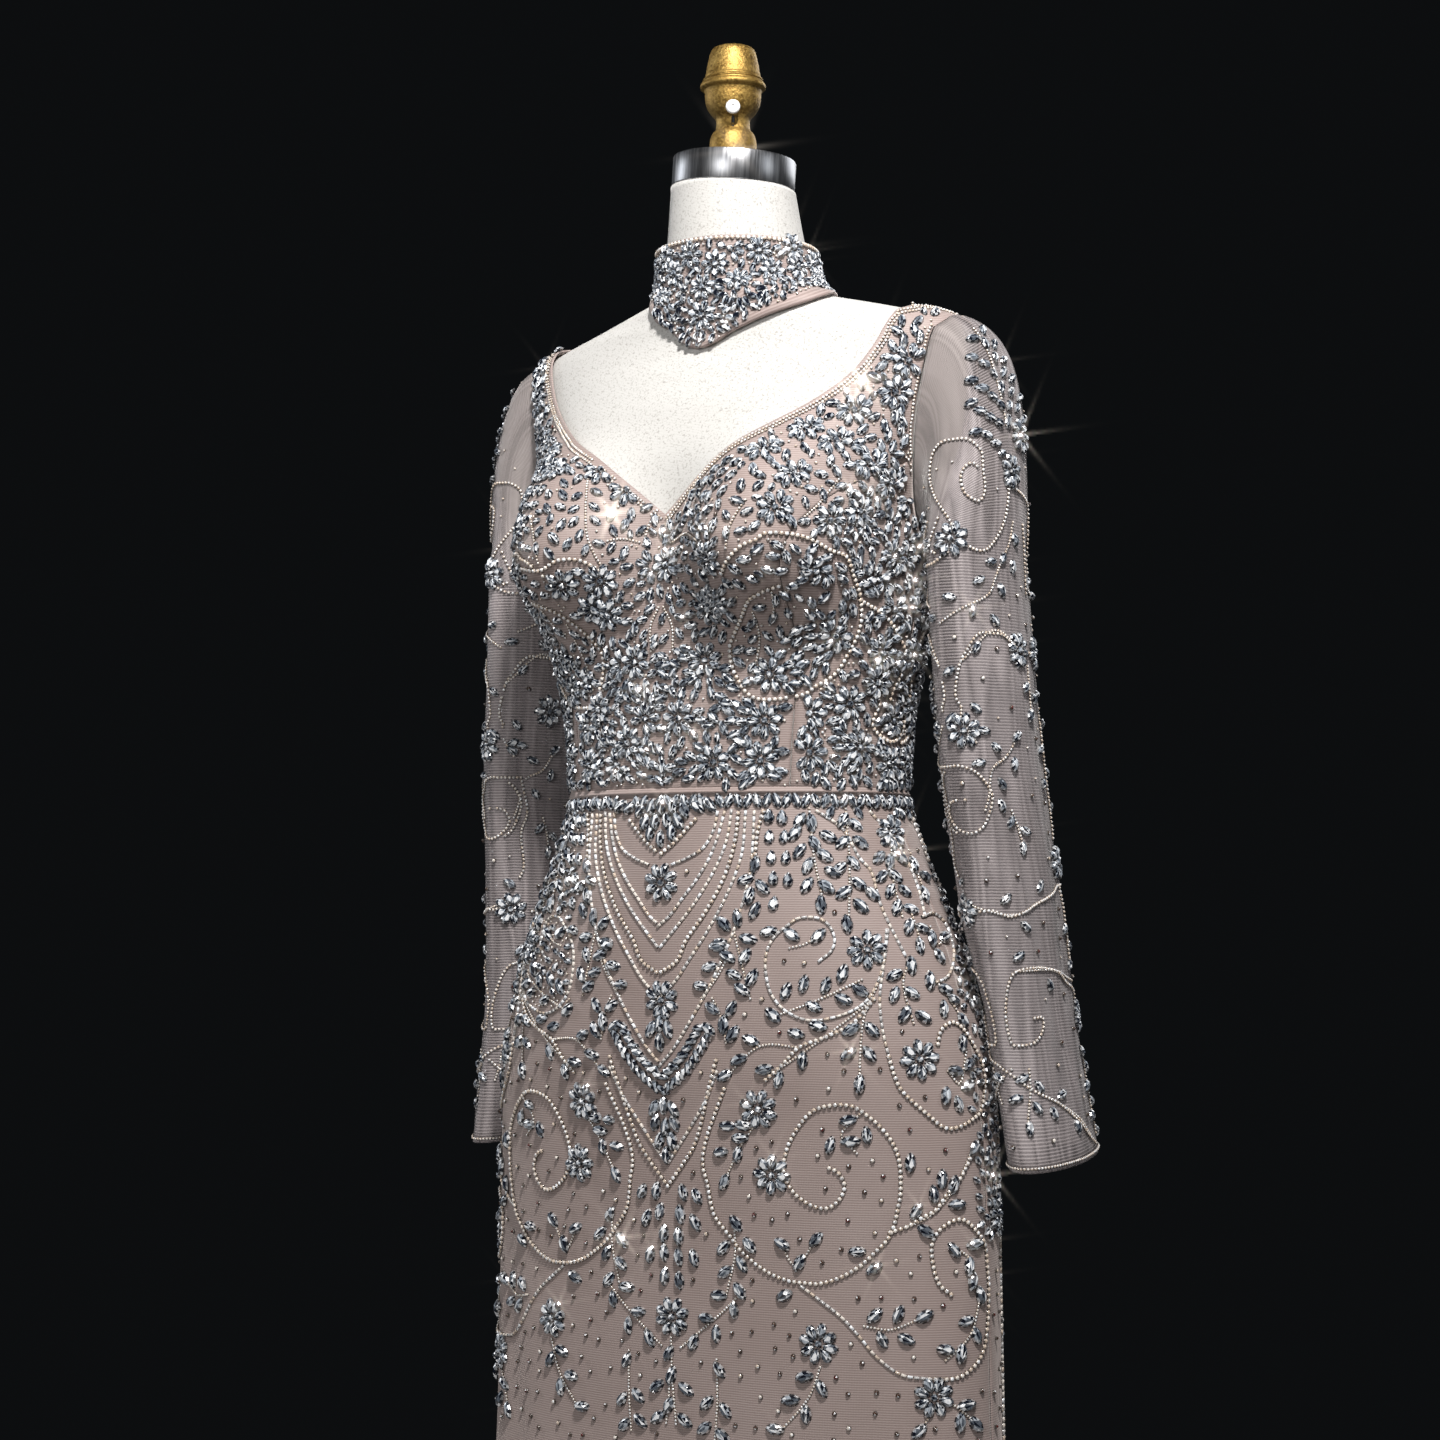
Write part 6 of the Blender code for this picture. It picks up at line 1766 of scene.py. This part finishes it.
def sleeve_beads(cloth, mirror):
    """Scrolls, swags and sprigs on the net, with few beads on its inner side."""
    laid = Beading(cloth, 21 if mirror else 20)
    lay(laid, [], SLEEVE_FLOWERS, SLEEVE_SPRIGS, 0.90, 0.80)
    for line in SLEEVE_PEARLS:
        laid.line("seed", line, 2.9, 1.2)
    inner = [row for row in laid.mirrored(cloth.half_girth_mm) if 40 < row[2] < 470 and abs(row[1]) > 62]
    laid.merge(inner, 1.5)
    girth = cloth.half_girth_mm(4.0) - 1
    laid.line("seed", [(s, 3.0) for s in np.linspace(-girth, girth, 24)], 2.4)

    def inside(s, t, margin):
        return (t > margin + 1.5) & (t < 586) & (np.abs(s) < cloth.half_girth_mm(t) - margin)

    laid.fill("bronze", inside, 9.0, 900, (-150, 6), (150, 470))
    laid.fill("seed", inside, 8.0, 500, (-150, 6), (150, 560))
    laid.trim(inside)
    return laid.mirrored() if mirror else laid.rows


CHOKER_FLOWERS = [
    (17, 374), (-18, 371), (-2, 382), (33, 361), (48, 383), (58, 369), (79, 374), (98, 380), (119, 384),
    (122, 368), (7, 358), (-28, 384), (76, 388), (-30, 356), (101, 365)
]
CHOKER_POINT = (6, 338)
CHOKER_LEAVES = [
    (-8, 344), (-8, 335), (-4, 328), (2, 323), (8, 323), (14, 328), (19, 336), (17, 347)
]


def choker_beads(cloth):
    """Small flowers and leaves all over the choker, a bigger one on its point and a plain lower edge."""
    angles = np.linspace(-COLLAR_ENDS, COLLAR_ENDS, cloth.s.shape[1])
    angles = np.broadcast_to(angles, cloth.s.shape)
    top = COLLAR_TOP / MM
    laid = Beading(cloth, 31)
    laid.lines("pearl", [[(s / MM, top - 2.0) for s in cloth.s[-1][2:-2:12]]])

    def inside(s, t, margin):
        angle = np.degrees(cloth.read(angles, cloth.find(s * MM, t * MM)))
        plain = 0.5 + 3.0 * smooth_step(8, 16, angle) * (1 - smooth_step(50, 90, angle))
        low = COLLAR_EDGE(angle) / MM + 0.6 * margin + plain
        return (t > low) & (t < top - 0.8 * margin - 1.5) & (np.abs(angle) < 176)

    for s, t in CHOKER_FLOWERS:
        laid.flower(s, t, 0.76)
    laid.merge(laid.mirrored(), 0.8)
    laid.flower(*CHOKER_POINT, 0.86)
    laid.cluster(CHOKER_POINT, CHOKER_LEAVES, "small")
    girth = cloth.half_girth_mm(380.0)
    for kind, room, tries, size in (("small", 2.1, 9000, 1.05), ("round", 1.7, 4000, 0.7),
                                    ("seed", 1.0, 5000, 1.0)):
        laid.fill(kind, inside, room, tries, (-girth, 310), (girth, 392), size)
    return laid.rows


def all_beads():
    """Makes every bead mesh, and returns them by the panel they are sewn to."""
    rows = skirt_beads() + bodice_beads()
    names = panel_of([row[1] for row in rows], [row[2] for row in rows]).tolist()
    sewn_on = {}
    for k, panel in enumerate(sorted(set(names))):
        own = [row for row, name in zip(rows, names) if name == panel]
        sewn_on[panel] = bead_meshes(panel, own, BODY, 60 + k)
    for k, (word, cloth) in enumerate((("left", LEFT_SLEEVE), ("right", RIGHT_SLEEVE))):
        laid = sleeve_beads(cloth, word == "right")
        sewn_on["sleeve_" + word] = bead_meshes("sleeve_" + word, laid, cloth, 80 + k)
    collar = neck_cloth()
    sewn_on["choker"] = bead_meshes("choker", choker_beads(collar), collar, 82)
    return sewn_on


# ---- what each sheet was cut to -----------------------------------------------------------------

BODICE = ["cloth_bodice_front", "cloth_bodice_back_left", "cloth_bodice_back_right"]
# Panel, widest and longest measure and area of the cut in metres, how it is held, and on what.
CUTS = [
    ("bodice_front", (0.405, 0.434), 0.0734, "stretched", ["padded_form"]),
    ("bodice_side_front_left", (0.132, 0.306), 0.0213, "stretched", ["padded_form"]),
    ("bodice_side_front_right", (0.132, 0.306), 0.0213, "stretched", ["padded_form"]),
    ("bodice_back_left", (0.205, 0.472), 0.0508, "stretched", ["padded_form"]),
    ("bodice_back_right", (0.205, 0.472), 0.0508, "stretched", ["padded_form"]),
    ("skirt_front", (0.704, 1.055), 0.5405, "hung", BODICE),
    ("skirt_back_left", (0.386, 1.056), 0.2940, "hung", BODICE),
    ("skirt_back_right", (0.386, 1.056), 0.2940, "hung", BODICE),
    ("waist_fold", (0.721, 0.010), 0.0072, "folded", BODICE),
    ("sleeve_left", (0.368, 0.602), 0.1372, "hung", BODICE),
    ("sleeve_right", (0.368, 0.600), 0.1356, "hung", BODICE),
    ("choker", (0.471, 0.082), 0.0188, "stretched", ["padded_form"]),
]


def declare_cloth(sewn_on):
    """Runs through every sheet's cut but states none of them; the beads passed in are not used."""
    for panel, flat, area, held, carried_by in CUTS:
        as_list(carried_by)


# ---- floor, light and camera --------------------------------------------------------------------

CAMERA_AZIMUTH, CAMERA_PITCH = math.radians(33.0), math.radians(3.6)
CAMERA_DISTANCE, CAMERA_HEIGHT = 2.05, 0.986
FRAME_SIZE, FOCAL_PIXELS, AXIS_PIXELS = 1440, 2866.0, 17.0


def camera():
    """At the photograph's angle, with the stand's axis a little right of the middle."""
    data = bpy.data.cameras.new("camera")
    data.sensor_width = 36.0
    data.lens = FOCAL_PIXELS / FRAME_SIZE * data.sensor_width
    yaw = math.atan(AXIS_PIXELS / FOCAL_PIXELS)
    ahead = np.array([-math.sin(CAMERA_AZIMUTH), math.cos(CAMERA_AZIMUTH), 0])
    right = np.array([math.cos(CAMERA_AZIMUTH), math.sin(CAMERA_AZIMUTH), 0])
    eye = [0, 0, CAMERA_HEIGHT] - ahead * CAMERA_DISTANCE
    ahead, right = (ahead * math.cos(yaw) - right * math.sin(yaw),
                    right * math.cos(yaw) + ahead * math.sin(yaw))
    up = np.array([0, 0, 1.0])
    ahead, up = (ahead * math.cos(CAMERA_PITCH) + up * math.sin(CAMERA_PITCH),
                 up * math.cos(CAMERA_PITCH) - ahead * math.sin(CAMERA_PITCH))
    bpy.context.scene.camera = add_object("camera", data, axes_at(eye, right, up, -ahead))


def lamp(name, place, target, size, watts, color, spread=180.0):
    """A soft rectangular lamp that faces a target."""
    data = bpy.data.lights.new(name, "AREA")
    data.shape, data.size, data.size_y = "RECTANGLE", size[0], size[1]
    data.energy, data.color, data.spread = watts, color, math.radians(spread)
    back = unit(np.array(place) - target)
    right = unit(np.cross([0, 0, 1.0], back))
    add_object(name, data, axes_at(place, right, np.cross(back, right), back))


def light():
    """A high soft key in front, a fill beside it and low light behind, in a dark room."""
    lamp("key", (0.86, -1.02, 2.62), (0.05, 0.0, 1.42), (0.24, 0.20), 11.5, (1.0, 0.97, 0.94), 80.0)
    lamp("front", (0.5, -2.5, 1.75), (0.0, 0.0, 1.2), (0.9, 0.9), 24.0, (1.0, 0.98, 0.96))
    lamp("fill_left", (-2.1, -0.35, 1.8), (0.0, 0.0, 1.1), (0.5, 1.0), 11.0, (0.95, 0.97, 1.0))
    lamp("fill_right", (2.2, 0.3, 1.9), (0.0, 0.0, 1.1), (0.5, 1.0), 6.0, (0.96, 0.98, 1.0))
    lamp("back", (0.3, 2.4, 2.4), (0.0, 0.0, 1.1), (1.6, 1.0), 17.0, (0.97, 0.98, 1.0))
    world = bpy.data.worlds.new("dark_room")
    world.use_nodes = True
    background = world.node_tree.nodes["Background"]
    background.inputs["Color"].default_value = (0.016, 0.018, 0.020, 1.0)
    background.inputs["Strength"].default_value = 0.25
    bpy.context.scene.world = world
    bpy.context.scene.view_settings.view_transform = "Standard"


def star_glints():
    """Thin rays from the few brightest facets, as a star filter on the lens gives."""
    scene = bpy.context.scene
    scene.use_nodes = True
    nodes, links = scene.node_tree.nodes, scene.node_tree.links
    picture, finished = nodes["Render Layers"], nodes["Composite"]
    rays = nodes.new("CompositorNodeGlare")
    rays.glare_type = "STREAKS"
    settings = {"Threshold": 2.6, "Smoothness": 0.05, "Maximum": 12.0, "Strength": 0.55, "Saturation": 0.8,
                "Streaks": 6, "Streaks Angle": math.radians(8.0), "Iterations": 3, "Fade": 0.86,
                "Color Modulation": 0.15, "Tint": (1.0, 0.90, 0.78, 1.0)}
    for name, value in settings.items():
        rays.inputs[name].default_value = value
    links.new(picture.outputs["Image"], rays.inputs["Image"])
    links.new(rays.outputs["Image"], finished.inputs["Image"])


FLOOR_SIDES = 96
FLOOR_RINGS = [(0.02, 0.0004), (1.30, 0.0004), (1.4995, 0.0006), (1.50, 0.0012), (1.50, 0.0124)]


def floor():
    """A pale round floor with a rounded edge."""
    rings = [ring_at(radius, -depth, FLOOR_SIDES) for radius, depth in FLOOR_RINGS]
    centre = np.arange(FLOOR_SIDES)[None, :]
    faces = [grid_quads(len(rings), FLOOR_SIDES, wrap=True)[:, ::-1], centre]
    mesh = mesh_from("floor", np.concatenate(rings), faces)
    mesh.materials.append(PALE_FLOOR)
    add_object("floor", mesh)


# ---- the whole scene ----------------------------------------------------------------------------

bodice_front()
for word, side in (("left", 1), ("right", -1)):
    bodice_side_front(word, side)
    bodice_back(word, side)
    skirt_panel("back_" + word, math.pi / 2, math.pi, 44, (SEAM_GAP / 2, -SEAM_GAP), side)
skirt_panel("front", -math.pi / 2, math.pi / 2, 88, (SEAM_GAP / 2, -SEAM_GAP / 2))
waist_fold()
sleeve("left", LEFT_SLEEVE)
sleeve("right", RIGHT_SLEEVE)
choker()
dress_form()
neck_cap()
finial()
stand()
buttons()
button_loops()
declare_cloth(all_beads())
floor()
light()
camera()
star_glints()

bpy.context.view_layer.update()
